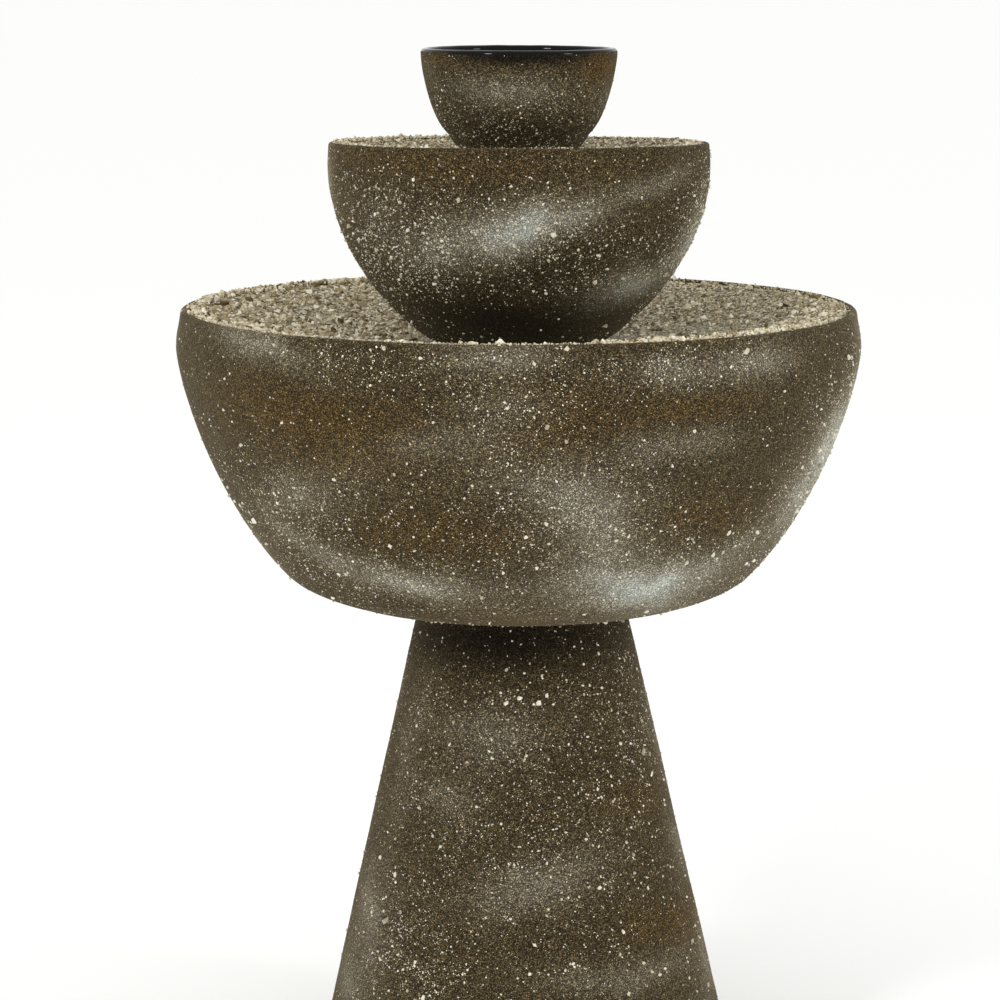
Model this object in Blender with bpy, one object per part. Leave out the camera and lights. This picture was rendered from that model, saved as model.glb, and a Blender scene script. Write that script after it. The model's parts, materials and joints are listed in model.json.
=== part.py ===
"""Tabletop water fountain: three stoneware bowls stacked on a hollow cone pedestal.

A submersible pump stands in the lowest bowl, under a grit-covered deck. It lifts water
through a riser tube to the top bowl, which spills over each rim in turn and drains back.
Metres, +Z up. The origin is on the table, on the bowls' common axis. The front faces -Y.
Each turned piece is drawn as (radius, height) points and spun round its own axis.
"""

import math
from collections import namedtuple

import bmesh
import bpy
import numpy as np
from mathutils import Matrix, Vector
from mathutils.geometry import interpolate_bezier

MM = 0.001

# ---- Clearances -------------------------------------------------------------------------
GAP = 0.3 * MM  # between two pieces that touch or slide on each other
CUT = 5 * MM  # how far a cutter runs past the face it cuts

# ---- Smoothness of the meshes -----------------------------------------------------------
BOWL_SIDES = 36
FITTING_SIDES = 16
SMALL_SIDES = 12
CURVE_STEPS = 6
ARC_STEPS = 2

# ---- Pedestal: a hollow cone, open underneath -------------------------------------------
PEDESTAL_BASE_RADIUS = 95 * MM
PEDESTAL_TOP_RADIUS = 46 * MM
PEDESTAL_HEIGHT = 215.3 * MM
PEDESTAL_WALL = 7 * MM
PEDESTAL_PLATE = 9 * MM  # the closed top
PEDESTAL_FLANGE = 16 * MM  # the thick ring round the open base
PEDESTAL_FLANGE_HEIGHT = 8 * MM
PEDESTAL_EDGE = 1.2 * MM

PAD_COUNT = 4
PAD_RADIUS = 6 * MM
PAD_STAND = 3 * MM  # how far the pads hold the pedestal off the table
PAD_SUNK = 1 * MM

# ---- Bowls ------------------------------------------------------------------------------
# The outside runs from the flat foot to the knee, where it turns up at knee_slope, to the
# belly, and in to the rim. The knee stands knee_inset inside the belly. fullness gives the
# curve's four handles, each as a share of the straight span that it belongs to.
Bowl = namedtuple(
    "Bowl",
    "rim_radius height bulge belly_drop knee_inset knee_height knee_slope fullness"
    " foot_radius wall floor",
)
SEAT_MARGIN = 7 * MM  # the lower bowl's foot stops this far inside the pedestal's top
LOWER = Bowl(
    rim_radius=148 * MM,
    height=131.5 * MM,
    bulge=2 * MM,
    belly_drop=16 * MM,
    knee_inset=46 * MM,
    knee_height=16 * MM,
    knee_slope=math.radians(46),
    fullness=(0.43, 0.21, 0.41, 0.12),
    foot_radius=PEDESTAL_TOP_RADIUS - SEAT_MARGIN,
    wall=9 * MM,
    floor=9 * MM,
)
MIDDLE = Bowl(
    rim_radius=83 * MM,
    height=87.5 * MM,
    bulge=0.4 * MM,
    belly_drop=10 * MM,
    knee_inset=29 * MM,
    knee_height=14.5 * MM,
    knee_slope=math.radians(43),
    fullness=(0.375, 0.59, 0.26, 0.37),
    foot_radius=27 * MM,
    wall=7 * MM,
    floor=7 * MM,
)
TOP = Bowl(
    rim_radius=42.7 * MM,
    height=50 * MM,
    bulge=0,
    belly_drop=3 * MM,
    knee_inset=11.8 * MM,
    knee_height=12.9 * MM,
    knee_slope=math.radians(44.5),
    fullness=(0.25, 0.06, 0.36, 0.03),
    foot_radius=19 * MM,
    wall=3.6 * MM,
    floor=5 * MM,
)

# ---- Decks: the dished, grit-covered covers that lie on a ledge inside a bowl's rim ------
Deck = namedtuple("Deck", "edge_drop depth thickness flat_radius dish")
LEDGE_WIDTH = 4 * MM
DECK_PLAY = 0.4 * MM  # round the deck's edge
LOWER_DECK = Deck(
    edge_drop=1.5 * MM,
    depth=17.8 * MM,
    thickness=6 * MM,
    flat_radius=58 * MM,
    dish=(0.35, 0.45),
)
MIDDLE_DECK = Deck(
    edge_drop=1.2 * MM,
    depth=11 * MM,
    thickness=5 * MM,
    flat_radius=32 * MM,
    dish=(0.35, 0.45),
)

GRATE_MARGIN = 10 * MM  # the drain grate reaches this far past the middle bowl's foot
GRATE_THICKNESS = 3 * MM
GRATE_SEAT = 4 * MM  # width of the step that the grate lies on
GRATE_HOLES = 12
GRATE_HOLE_RADIUS = 2 * MM

# ---- Rubber rings between the tiers -----------------------------------------------------
SEAT_GASKET_THICKNESS = 1 * MM
MIDDLE_RING_THICKNESS = 1.5 * MM
TOP_RING_THICKNESS = 1 * MM
RING_WIDTH = 5 * MM
RING_MARGIN = 1 * MM  # from the foot's edge to the ring's

# ---- Screws that hold the lower bowl on the pedestal ------------------------------------
SCREW_COUNT = 3
SCREW_CIRCLE = 26 * MM
SCREW_RADIUS = 3 * MM
SCREW_HEAD_RADIUS = 5.5 * MM
SCREW_HEAD_HEIGHT = 3.5 * MM
SCREW_SOCKET_RADIUS = 2 * MM
SCREW_SOCKET_DEPTH = 2 * MM
SEAL_RADIUS = 7.5 * MM
SEAL_THICKNESS = 1.5 * MM
NUT_ACROSS_FLATS = 10 * MM
NUT_HEIGHT = 5 * MM
SCREW_TAIL = 3 * MM  # thread that shows below the nut

# ---- Gland that takes the pump's lead through the lower bowl's floor ---------------------
GLAND_Y = -8 * MM
GLAND_THREAD_RADIUS = 6 * MM
GLAND_ACROSS_FLATS = 15 * MM
GLAND_FLANGE_HEIGHT = 3 * MM
GLAND_CUP_HEIGHT = 6 * MM
GLAND_SEAL_RADIUS = 4.2 * MM
GLAND_SEAL_HEIGHT = 5 * MM
GLAND_CAP_WALL = 1.8 * MM
GLAND_CAP_ROOF = 2 * MM
GLAND_TAIL = 3 * MM

# ---- Lead and low-voltage inlet ---------------------------------------------------------
LEAD_RADIUS = 1.8 * MM
LEAD_RELIEF_LENGTH = 12 * MM
LEAD_RELIEF_RADIUS = 4 * MM
INLET_HEIGHT = 30 * MM  # above the table, at the back of the pedestal
INLET_RADIUS = 4 * MM
INLET_FLANGE_RADIUS = 6.5 * MM
INLET_FLANGE_THICKNESS = 2 * MM
INLET_LENGTH = 15 * MM
INLET_BORE_RADIUS = 2.8 * MM
INLET_BORE_DEPTH = 10 * MM
INLET_PIN_RADIUS = 1 * MM
INLET_NUT_ACROSS_FLATS = 11 * MM
INLET_NUT_HEIGHT = 2.5 * MM
SPOT_FACE = 1 * MM

# ---- Pump. Its rotor turns on an axis along Y, and its outlet stands on the bowls' axis --
PUMP_WIDTH = 30 * MM
GLAND_CLEARANCE = 9 * MM  # from the pump's side to the gland's middle
GLAND_X = -(PUMP_WIDTH / 2 + GLAND_CLEARANCE)
PUMP_HEIGHT = 30 * MM
PUMP_EDGE = 2 * MM
MOTOR_LENGTH = 30 * MM
VOLUTE_LENGTH = 14 * MM
VOLUTE_FRONT = 4 * MM
VOLUTE_RADIUS = 11.5 * MM
GRILLE_LENGTH = 9 * MM
GRILLE_WALL = 1.6 * MM
GRILLE_SLOTS = 5
GRILLE_SLOT_WIDTH = 1.8 * MM
INTAKE_PORTS = 4
INTAKE_PORT_RADIUS = 2 * MM
INTAKE_PORT_CIRCLE = 6.5 * MM
ROTOR_RADIUS = 7.2 * MM
ROTOR_LENGTH = 20 * MM
ROTOR_PLAY = 0.8 * MM  # between the rotor and its well, which holds water
SHAFT_RADIUS = 1 * MM
BUSH_RADIUS = 2.6 * MM
BUSH_LENGTH = 2.8 * MM
IMPELLER_RADIUS = 10.4 * MM
IMPELLER_DISC = 1.2 * MM
IMPELLER_WIDTH = 6 * MM
IMPELLER_HUB_RADIUS = 3.4 * MM
VANE_COUNT = 6
VANE_THICKNESS = 1.2 * MM
DIAL_RADIUS = 7.5 * MM
DIAL_THICKNESS = 2 * MM
DIAL_STEM_RADIUS = 1.9 * MM
DIAL_GRIP = 2.5 * MM
NOZZLE_RADIUS = 4.2 * MM
NOZZLE_BORE_RADIUS = 2.8 * MM
NOZZLE_LENGTH = 14 * MM
O_RING_RADIUS = 0.7 * MM  # of the cord, for both O-rings
CUP_RADIUS = 6 * MM
CUP_HEIGHT = 12 * MM
CUP_NECK_RADIUS = 2.6 * MM
CUP_PEG_RADIUS = 2 * MM
CUP_PEG_LENGTH = 2.5 * MM
CUP_SPREAD = 10 * MM  # each side of the pump's middle
CUP_FRONT_Y = -2 * MM
CUP_BACK_Y = 29 * MM

# ---- Riser and the fitting in the top bowl's floor ---------------------------------------
RISER_BORE_RADIUS = NOZZLE_RADIUS + GAP
RISER_WALL = 1.5 * MM
RISER_RADIUS = RISER_BORE_RADIUS + RISER_WALL
SPIGOT_LENGTH = 18 * MM
STEM_RADIUS = 7.7 * MM
FITTING_FLANGE_RADIUS = 11.5 * MM
FITTING_FLANGE_HEIGHT = 3 * MM
FITTING_WASHER = 1.5 * MM
FITTING_NUT_ACROSS_FLATS = 20 * MM
FITTING_NUT_HEIGHT = 3.5 * MM
GROMMET_WALL = 2.5 * MM
GROMMET_LIP = 3 * MM
GROMMET_LIP_HEIGHT = 1 * MM

# ---- Levels, from the table up ----------------------------------------------------------
PLATE_TOP_Z = PAD_STAND + PEDESTAL_HEIGHT
PLATE_UNDER_Z = PLATE_TOP_Z - PEDESTAL_PLATE
LOWER_Z = PLATE_TOP_Z + SEAT_GASKET_THICKNESS + 2 * GAP
LOWER_FLOOR_Z = LOWER_Z + LOWER.floor
LOWER_RIM_Z = LOWER_Z + LOWER.height
LOWER_DECK_Z = LOWER_RIM_Z - LOWER_DECK.depth
MIDDLE_Z = LOWER_DECK_Z + MIDDLE_RING_THICKNESS + 2 * GAP
MIDDLE_FLOOR_Z = MIDDLE_Z + MIDDLE.floor
MIDDLE_RIM_Z = MIDDLE_Z + MIDDLE.height
MIDDLE_DECK_Z = MIDDLE_RIM_Z - MIDDLE_DECK.depth
TOP_Z = MIDDLE_DECK_Z + TOP_RING_THICKNESS + 2 * GAP
TOP_FLOOR_Z = TOP_Z + TOP.floor
PUMP_BOTTOM_Z = LOWER_FLOOR_Z + CUP_HEIGHT
PUMP_AXIS_Z = PUMP_BOTTOM_Z + PUMP_HEIGHT / 2
PUMP_TOP_Z = PUMP_BOTTOM_Z + PUMP_HEIGHT
NUT_UNDER_TOP_Z = TOP_Z - GAP - FITTING_NUT_HEIGHT
RISER_TOP_Z = NUT_UNDER_TOP_Z - 2 * MM
RISER_FOOT_Z = PUMP_TOP_Z + 1 * MM

# ---- Places along the pump's axis, front to back ----------------------------------------
VOLUTE_FRONT_Y = -VOLUTE_LENGTH / 2
VOLUTE_BACK_Y = VOLUTE_LENGTH / 2
CHAMBER_FRONT_Y = VOLUTE_FRONT_Y + VOLUTE_FRONT
MOTOR_FRONT_Y = VOLUTE_BACK_Y + GAP
MOTOR_BACK_Y = MOTOR_FRONT_Y + MOTOR_LENGTH
GRILLE_BACK_Y = VOLUTE_FRONT_Y - GAP
GRILLE_FRONT_Y = GRILLE_BACK_Y - GRILLE_LENGTH
IMPELLER_FRONT_Y = CHAMBER_FRONT_Y + 1.5 * MM
IMPELLER_BACK_Y = IMPELLER_FRONT_Y + IMPELLER_WIDTH + IMPELLER_DISC
ROTOR_FRONT_Y = MOTOR_FRONT_Y + 1 * MM
ROTOR_BACK_Y = ROTOR_FRONT_Y + ROTOR_LENGTH
WELL_BACK_Y = ROTOR_BACK_Y + 2 * MM
BUSH_SOCKET = BUSH_LENGTH - 0.6 * MM  # how deep a bush sits in its socket

NUT_CLEARANCE = 1.5 * MM
MIDDLE_DECK_HOLE = FITTING_NUT_ACROSS_FLATS / math.sqrt(3) + NUT_CLEARANCE
GROMMET_RADIUS = RISER_RADIUS + GAP + GROMMET_WALL
GRATE_RADIUS = MIDDLE.foot_radius + GRATE_MARGIN
GRATE_HOLE = GROMMET_RADIUS + GROMMET_LIP + 2 * GAP
CONE_SLOPE = math.atan((PEDESTAL_BASE_RADIUS - PEDESTAL_TOP_RADIUS) / PEDESTAL_HEIGHT)


# ---- Materials --------------------------------------------------------------------------
def material(name, colour, roughness, metallic=0.0):
    made = bpy.data.materials.new(name)
    made.use_nodes = True
    made.diffuse_color = (*colour, 1)
    shader = made.node_tree.nodes["Principled BSDF"]
    shader.inputs["Base Color"].default_value = (*colour, 1)
    shader.inputs["Roughness"].default_value = roughness
    shader.inputs["Metallic"].default_value = metallic
    return made


# ---- Drawing outlines -------------------------------------------------------------------
def rounded(corners, steps=ARC_STEPS):
    """A closed outline from (radius, height, corner radius) corners, round ones as arcs."""
    points = []
    for index, (r, z, radius) in enumerate(corners):
        here = Vector((r, z))
        if not radius:
            points.append(here)
            continue
        back = (Vector(corners[index - 1][:2]) - here).normalized()
        on = (Vector(corners[(index + 1) % len(corners)][:2]) - here).normalized()
        half = back.angle(on) / 2
        centre = here + (back + on).normalized() * radius / math.sin(half)
        reach = radius / math.tan(half)
        for step in range(steps + 1):
            spoke = (here + back * reach).lerp(here + on * reach, step / steps) - centre
            points.append(centre + spoke.normalized() * radius)
    return points


def inset(points, distance):
    """The outline moved square to itself, to its left."""
    moved = []
    for index, here in enumerate(points):
        before = points[max(index - 1, 0)]
        after = points[min(index + 1, len(points) - 1)]
        along = (after - before).normalized()
        moved.append(here + Vector((-along.y, along.x)) * distance)
    return moved


def radius_at(points, height):
    return float(np.interp(height, [p.y for p in points], [p.x for p in points]))


def between(points, low, high):
    """The stretch of a rising outline between two heights, with a point on each."""
    inner = [p for p in points if low + 0.2 * MM < p.y < high - 0.2 * MM]
    ends = [Vector((radius_at(points, height), height)) for height in (low, high)]
    return [ends[0], *inner, ends[1]]


def ring_section(inner, outer, low, high):
    return [Vector(p) for p in ((inner, low), (outer, low), (outer, high), (inner, high))]


# ---- Making solids ----------------------------------------------------------------------
def keep(name, mesh_maker, finish, place=(0, 0, 0), turn=(0, 0, 0)):
    """One named object from a bmesh, shaded smooth except over its sharp edges."""
    bmesh.ops.recalc_face_normals(mesh_maker, faces=mesh_maker.faces)
    mesh = bpy.data.meshes.new(name)
    mesh_maker.to_mesh(mesh)
    mesh_maker.free()
    mesh.materials.append(finish)
    mesh.shade_smooth()
    mesh.set_sharp_from_angle(angle=math.radians(35))
    made = bpy.data.objects.new(name, mesh)
    made.location = place
    made.rotation_euler = turn
    bpy.context.scene.collection.objects.link(made)
    return made


def spun(outline, sides):
    """A bmesh of the outline spun round Z. A point on the axis closes the shape there."""
    made = bmesh.new()
    points = [made.verts.new((p[0], 0, p[1])) for p in outline]
    pairs = list(zip(points, points[1:] + points[:1]))
    if outline[0][0] == 0 and outline[-1][0] == 0:
        pairs.pop()
    edges = [made.edges.new(pair) for pair in pairs]
    bmesh.ops.spin(
        made,
        geom=points + edges,
        cent=(0, 0, 0),
        axis=(0, 0, 1),
        angle=math.tau,
        steps=sides,
        use_merge=True,
    )
    bmesh.ops.remove_doubles(made, verts=made.verts, dist=0.001 * MM)
    return made


def turned(name, outline, finish, sides=FITTING_SIDES, place=(0, 0, 0), turn=(0, 0, 0)):
    return keep(name, spun(outline, sides), finish, place, turn)


def block(name, size, finish, edge=0.0, place=(0, 0, 0), turn=(0, 0, 0)):
    made = bmesh.new()
    bmesh.ops.create_cube(made, size=1)
    bmesh.ops.scale(made, vec=size, verts=made.verts)
    if edge:
        bmesh.ops.bevel(
            made, geom=made.edges, offset=edge, segments=2, profile=0.5, affect="EDGES"
        )
    return keep(name, made, finish, place, turn)


def hexagon_ring(name, across_flats, bore, height, finish, place, turn=(0, 0, 0)):
    """A nut: a six-sided prism with a round bore."""
    made = bmesh.new()
    corner = across_flats / math.sqrt(3)
    outline = [
        made.verts.new((corner * math.cos(a), corner * math.sin(a), 0))
        for a in (math.tau * side / 6 for side in range(6))
    ]
    face = made.faces.new(outline)
    raised = bmesh.ops.extrude_face_region(made, geom=[face])["geom"]
    bmesh.ops.translate(
        made, vec=(0, 0, height), verts=[v for v in raised if isinstance(v, bmesh.types.BMVert)]
    )
    nut = keep(name, made, finish, place, turn)
    hole = rods(name + "_bore", bore, -CUT, height + CUT, [(0, 0)], place, turn, FITTING_SIDES)
    join_or_cut(nut, hole, "DIFFERENCE")
    return nut


def helper(made):
    """Marks an object as a cutter or an addition, which is no part of its own."""
    made.hide_render = True
    made.display_type = "WIRE"
    return made


def rods(name, radius, low, high, centres, place=(0, 0, 0), turn=(0, 0, 0), sides=SMALL_SIDES):
    """Helper cylinders along local Z, one at each (x, y)."""
    made = bmesh.new()
    for x, y in centres:
        bmesh.ops.create_cone(
            made,
            cap_ends=True,
            segments=sides,
            radius1=radius,
            radius2=radius,
            depth=high - low,
            matrix=Matrix.Translation((x, y, (low + high) / 2)),
        )
    return helper(keep(name, made, STEEL, place, turn))


def join_or_cut(solid, other, operation):
    change = solid.modifiers.new(other.name, "BOOLEAN")
    change.operation = operation
    change.solver = "EXACT"
    change.object = other


def on_circle(count, radius, first=0.0):
    """count (x, y) places on a circle, the first at an angle from +X."""
    angles = [first + math.tau * index / count for index in range(count)]
    return [(radius * math.cos(a), radius * math.sin(a)) for a in angles]


# ---- Bowls and decks --------------------------------------------------------------------
def bowl_outline(bowl):
    """The bowl's outside from the foot's edge to the rim, standing on height 0."""
    foot = Vector((bowl.foot_radius, 0))
    belly = Vector((bowl.rim_radius + bowl.bulge, bowl.height - bowl.belly_drop))
    knee = Vector((belly.x - bowl.knee_inset, bowl.knee_height))
    rim = Vector((bowl.rim_radius, bowl.height))
    rise = Vector((math.cos(bowl.knee_slope), math.sin(bowl.knee_slope)))
    low_span = (knee - foot).length
    high_span = (belly - knee).length
    from_foot, to_knee, from_knee, to_belly = bowl.fullness
    out, up = Vector((1, 0)), Vector((0, 1))
    under = interpolate_bezier(
        foot,
        foot + out * from_foot * low_span,
        knee - rise * to_knee * low_span,
        knee,
        CURVE_STEPS,
    )
    side = interpolate_bezier(
        knee,
        knee + rise * from_knee * high_span,
        belly - up * to_belly * high_span,
        belly,
        CURVE_STEPS,
    )
    turn_in = interpolate_bezier(
        belly, belly + up * bowl.belly_drop * 0.4, rim - up * bowl.belly_drop * 0.4, rim, 3
    )
    return [*under, *side[1:], *turn_in[1:]]


def deck_ledge(bowl, deck):
    """(height of the ledge inside the bowl, radius of the rebate above it)."""
    height = bowl.height - deck.edge_drop - deck.thickness - GAP
    inside = inset(bowl_outline(bowl), bowl.wall)
    return height, radius_at(inside, height) + LEDGE_WIDTH


def bowl_section(bowl, deck=None, hole=0.0):
    """The bowl's cross-section: outside, round lip, ledge for the deck, inside, floor."""
    outside = bowl_outline(bowl)
    inside = inset(outside, bowl.wall)[::2]
    if deck:
        ledge, rebate = deck_ledge(bowl, deck)
        steps = [Vector((rebate, ledge)), *reversed(between(inside, bowl.floor, ledge))]
    else:
        rebate = radius_at(inside, bowl.height)
        steps = list(reversed(between(inside, bowl.floor, bowl.height - bowl.wall)))
    lip = (bowl.rim_radius - rebate) / 2
    arc = [math.pi * step / (2 * ARC_STEPS) for step in range(2 * ARC_STEPS + 1)]
    centre = Vector((bowl.rim_radius - lip, bowl.height - lip))
    round_lip = [centre + lip * Vector((math.cos(a), math.sin(a))) for a in arc]
    wall = between(outside, 0, bowl.height - lip)[:-1]
    return [Vector((hole, 0)), *wall, *round_lip, *steps, Vector((hole, bowl.floor))]


def deck_section(bowl, deck, hole, step=None):
    """A deck's cross-section, from its bowl's rim down. step is (radius, depth) of a rebate."""
    rebate = deck_ledge(bowl, deck)[1]
    edge = Vector((rebate - DECK_PLAY, -deck.edge_drop))
    shoulder = Vector((rebate - LEDGE_WIDTH - 3 * MM, -deck.edge_drop))
    flat = Vector((deck.flat_radius, -deck.depth))
    span = shoulder.x - flat.x
    fall = math.atan2(shoulder.y - flat.y, span)
    slope = Vector((math.cos(fall * 1.4), math.sin(fall * 1.4)))
    dished = interpolate_bezier(
        flat,
        flat + Vector((deck.dish[0] * span, 0)),
        shoulder - slope * deck.dish[1] * span,
        shoulder,
        CURVE_STEPS,
    )
    down = Vector((0, -deck.thickness))
    under = [p + down for p in (*dished, edge)]
    over = [edge, *reversed(dished)]
    bore = Vector((hole, -deck.depth))
    if not step:
        return [bore + down, *under, *over, bore]
    wide, deep = step
    seat = [Vector((wide, -deck.depth)), Vector((wide, -deck.depth - deep))]
    return [bore + down, *under, *over, *seat, Vector((hole, -deck.depth - deep))]


# ---- The pedestal and what is on it -----------------------------------------------------
def make_pedestal():
    side_wall = PEDESTAL_WALL / math.cos(CONE_SLOPE)
    lean = math.tan(CONE_SLOPE)
    inner_top = PEDESTAL_TOP_RADIUS + lean * PEDESTAL_PLATE - side_wall
    flange_top = PEDESTAL_BASE_RADIUS - lean * PEDESTAL_FLANGE_HEIGHT - side_wall
    flange_inside = PEDESTAL_BASE_RADIUS - PEDESTAL_FLANGE
    outline = rounded(
        [
            (0, PEDESTAL_HEIGHT - PEDESTAL_PLATE, 0),
            (inner_top, PEDESTAL_HEIGHT - PEDESTAL_PLATE, 0),
            (flange_top, PEDESTAL_FLANGE_HEIGHT, 0),
            (flange_inside, PEDESTAL_FLANGE_HEIGHT, 0),
            (flange_inside, 0, 0),
            (PEDESTAL_BASE_RADIUS, 0, PEDESTAL_EDGE),
            (PEDESTAL_TOP_RADIUS, PEDESTAL_HEIGHT, PEDESTAL_EDGE),
            (0, PEDESTAL_HEIGHT, 0),
        ]
    )
    pedestal = turned("pedestal", outline, STONE, BOWL_SIDES, (0, 0, PAD_STAND))
    pad_places = on_circle(
        PAD_COUNT, PEDESTAL_BASE_RADIUS - PEDESTAL_FLANGE / 2, math.tau / (2 * PAD_COUNT)
    )
    recess = rods("pad_recess", PAD_RADIUS + GAP, -CUT, PAD_STAND + PAD_SUNK, pad_places)
    join_or_cut(pedestal, recess, "DIFFERENCE")
    pad = rounded(
        [
            (0, 0, 0),
            (PAD_RADIUS, 0, 0.8 * MM),
            (PAD_RADIUS, PAD_STAND + PAD_SUNK - GAP, 0),
            (0, PAD_STAND + PAD_SUNK - GAP, 0),
        ],
        2,
    )
    for number, (x, y) in enumerate(pad_places, 1):
        turned(f"pad_{number}", pad, RUBBER, SMALL_SIDES, (x, y, 0))
    return pedestal


def make_inlet(pedestal):
    """The low-voltage socket, square to the pedestal's back wall. Its own +Z points out."""
    outside = PEDESTAL_BASE_RADIUS - (INLET_HEIGHT - PAD_STAND) * math.tan(CONE_SLOPE)
    place = (0, outside, INLET_HEIGHT)
    turn = (CONE_SLOPE - math.pi / 2, 0, 0)
    hole = INLET_RADIUS + GAP
    spot = INLET_NUT_ACROSS_FLATS / math.sqrt(3) + 2 * GAP
    inner_face = SPOT_FACE - PEDESTAL_WALL
    pocket = [
        (0, CUT),
        (INLET_FLANGE_RADIUS + GAP, CUT),
        (INLET_FLANGE_RADIUS + GAP, -SPOT_FACE),
        (hole, -SPOT_FACE),
        (hole, inner_face),
        (spot, inner_face),
        (spot, inner_face - 2 * CUT),
        (0, inner_face - 2 * CUT),
    ]
    cutter = helper(turned("inlet_pocket", pocket, STEEL, FITTING_SIDES, place, turn))
    join_or_cut(pedestal, cutter, "DIFFERENCE")
    face = INLET_FLANGE_THICKNESS - SPOT_FACE + GAP
    bore_end = face - INLET_BORE_DEPTH
    body = [
        (0, face - 1.5 * MM),
        (INLET_PIN_RADIUS, face - 1.5 * MM),
        (INLET_PIN_RADIUS, bore_end),
        (INLET_BORE_RADIUS, bore_end),
        (INLET_BORE_RADIUS, face),
        (INLET_FLANGE_RADIUS, face),
        (INLET_FLANGE_RADIUS, face - INLET_FLANGE_THICKNESS),
        (INLET_RADIUS, face - INLET_FLANGE_THICKNESS),
        (INLET_RADIUS, face - INLET_LENGTH),
        (0, face - INLET_LENGTH),
    ]
    turned("inlet_socket", body, BLACK_PLASTIC, FITTING_SIDES, place, turn)
    outward = Vector((0, math.cos(CONE_SLOPE), math.sin(CONE_SLOPE)))
    nut_place = Vector(place) + outward * (inner_face - GAP - INLET_NUT_HEIGHT)
    hexagon_ring(
        "inlet_nut",
        INLET_NUT_ACROSS_FLATS,
        INLET_RADIUS + GAP,
        INLET_NUT_HEIGHT,
        STEEL,
        nut_place,
        turn,
    )
    return Vector(place) + outward * (face - INLET_LENGTH), outward


# ---- The lower bowl, its seat and its fasteners -----------------------------------------
def make_lower_bowl(pedestal):
    bowl = turned(
        "lower_bowl", bowl_section(LOWER, LOWER_DECK), STONE, BOWL_SIDES, (0, 0, LOWER_Z)
    )
    gasket_radius = LOWER.foot_radius - RING_MARGIN
    low, high = PLATE_TOP_Z + GAP, PLATE_TOP_Z + GAP + SEAT_GASKET_THICKNESS
    gasket = turned(
        "seat_gasket", ring_section(0, gasket_radius, low, high), RUBBER, 2 * FITTING_SIDES
    )
    screw_places = on_circle(SCREW_COUNT, SCREW_CIRCLE, math.radians(30))
    span = (PLATE_UNDER_Z - CUT, LOWER_FLOOR_Z + CUT)
    screw_holes = rods("screw_holes", SCREW_RADIUS + GAP, *span, screw_places)
    gland_hole = rods("gland_hole", GLAND_THREAD_RADIUS + GAP, *span, [(GLAND_X, GLAND_Y)])
    for solid in (bowl, gasket, pedestal):
        join_or_cut(solid, screw_holes, "DIFFERENCE")
        join_or_cut(solid, gland_hole, "DIFFERENCE")
    make_screws(screw_places)


def make_screws(places):
    seal_top = LOWER_FLOOR_Z + GAP + SEAL_THICKNESS
    head = seal_top + GAP
    head_top = head + SCREW_HEAD_HEIGHT
    nut_top = PLATE_UNDER_Z - GAP
    tail = nut_top - NUT_HEIGHT - SCREW_TAIL
    socket = head_top - SCREW_SOCKET_DEPTH
    screw = rounded(
        [
            (0, tail, 0),
            (SCREW_RADIUS, tail, 0.6 * MM),
            (SCREW_RADIUS, head, 0),
            (SCREW_HEAD_RADIUS, head, 0),
            (SCREW_HEAD_RADIUS, head_top, 1 * MM),
            (SCREW_SOCKET_RADIUS, head_top, 0),
            (SCREW_SOCKET_RADIUS, socket, 0),
            (0, socket, 0),
        ],
        2,
    )
    seal = ring_section(SCREW_RADIUS + GAP, SEAL_RADIUS, LOWER_FLOOR_Z + GAP, seal_top)
    for number, (x, y) in enumerate(places, 1):
        turned(f"bowl_screw_{number}", screw, STEEL, SMALL_SIDES, (x, y, 0))
        turned(f"screw_seal_{number}", seal, RUBBER, SMALL_SIDES, (x, y, 0))
        hexagon_ring(
            f"screw_nut_{number}",
            NUT_ACROSS_FLATS,
            SCREW_RADIUS + GAP,
            NUT_HEIGHT,
            STEEL,
            (x, y, nut_top - NUT_HEIGHT),
        )


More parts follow.
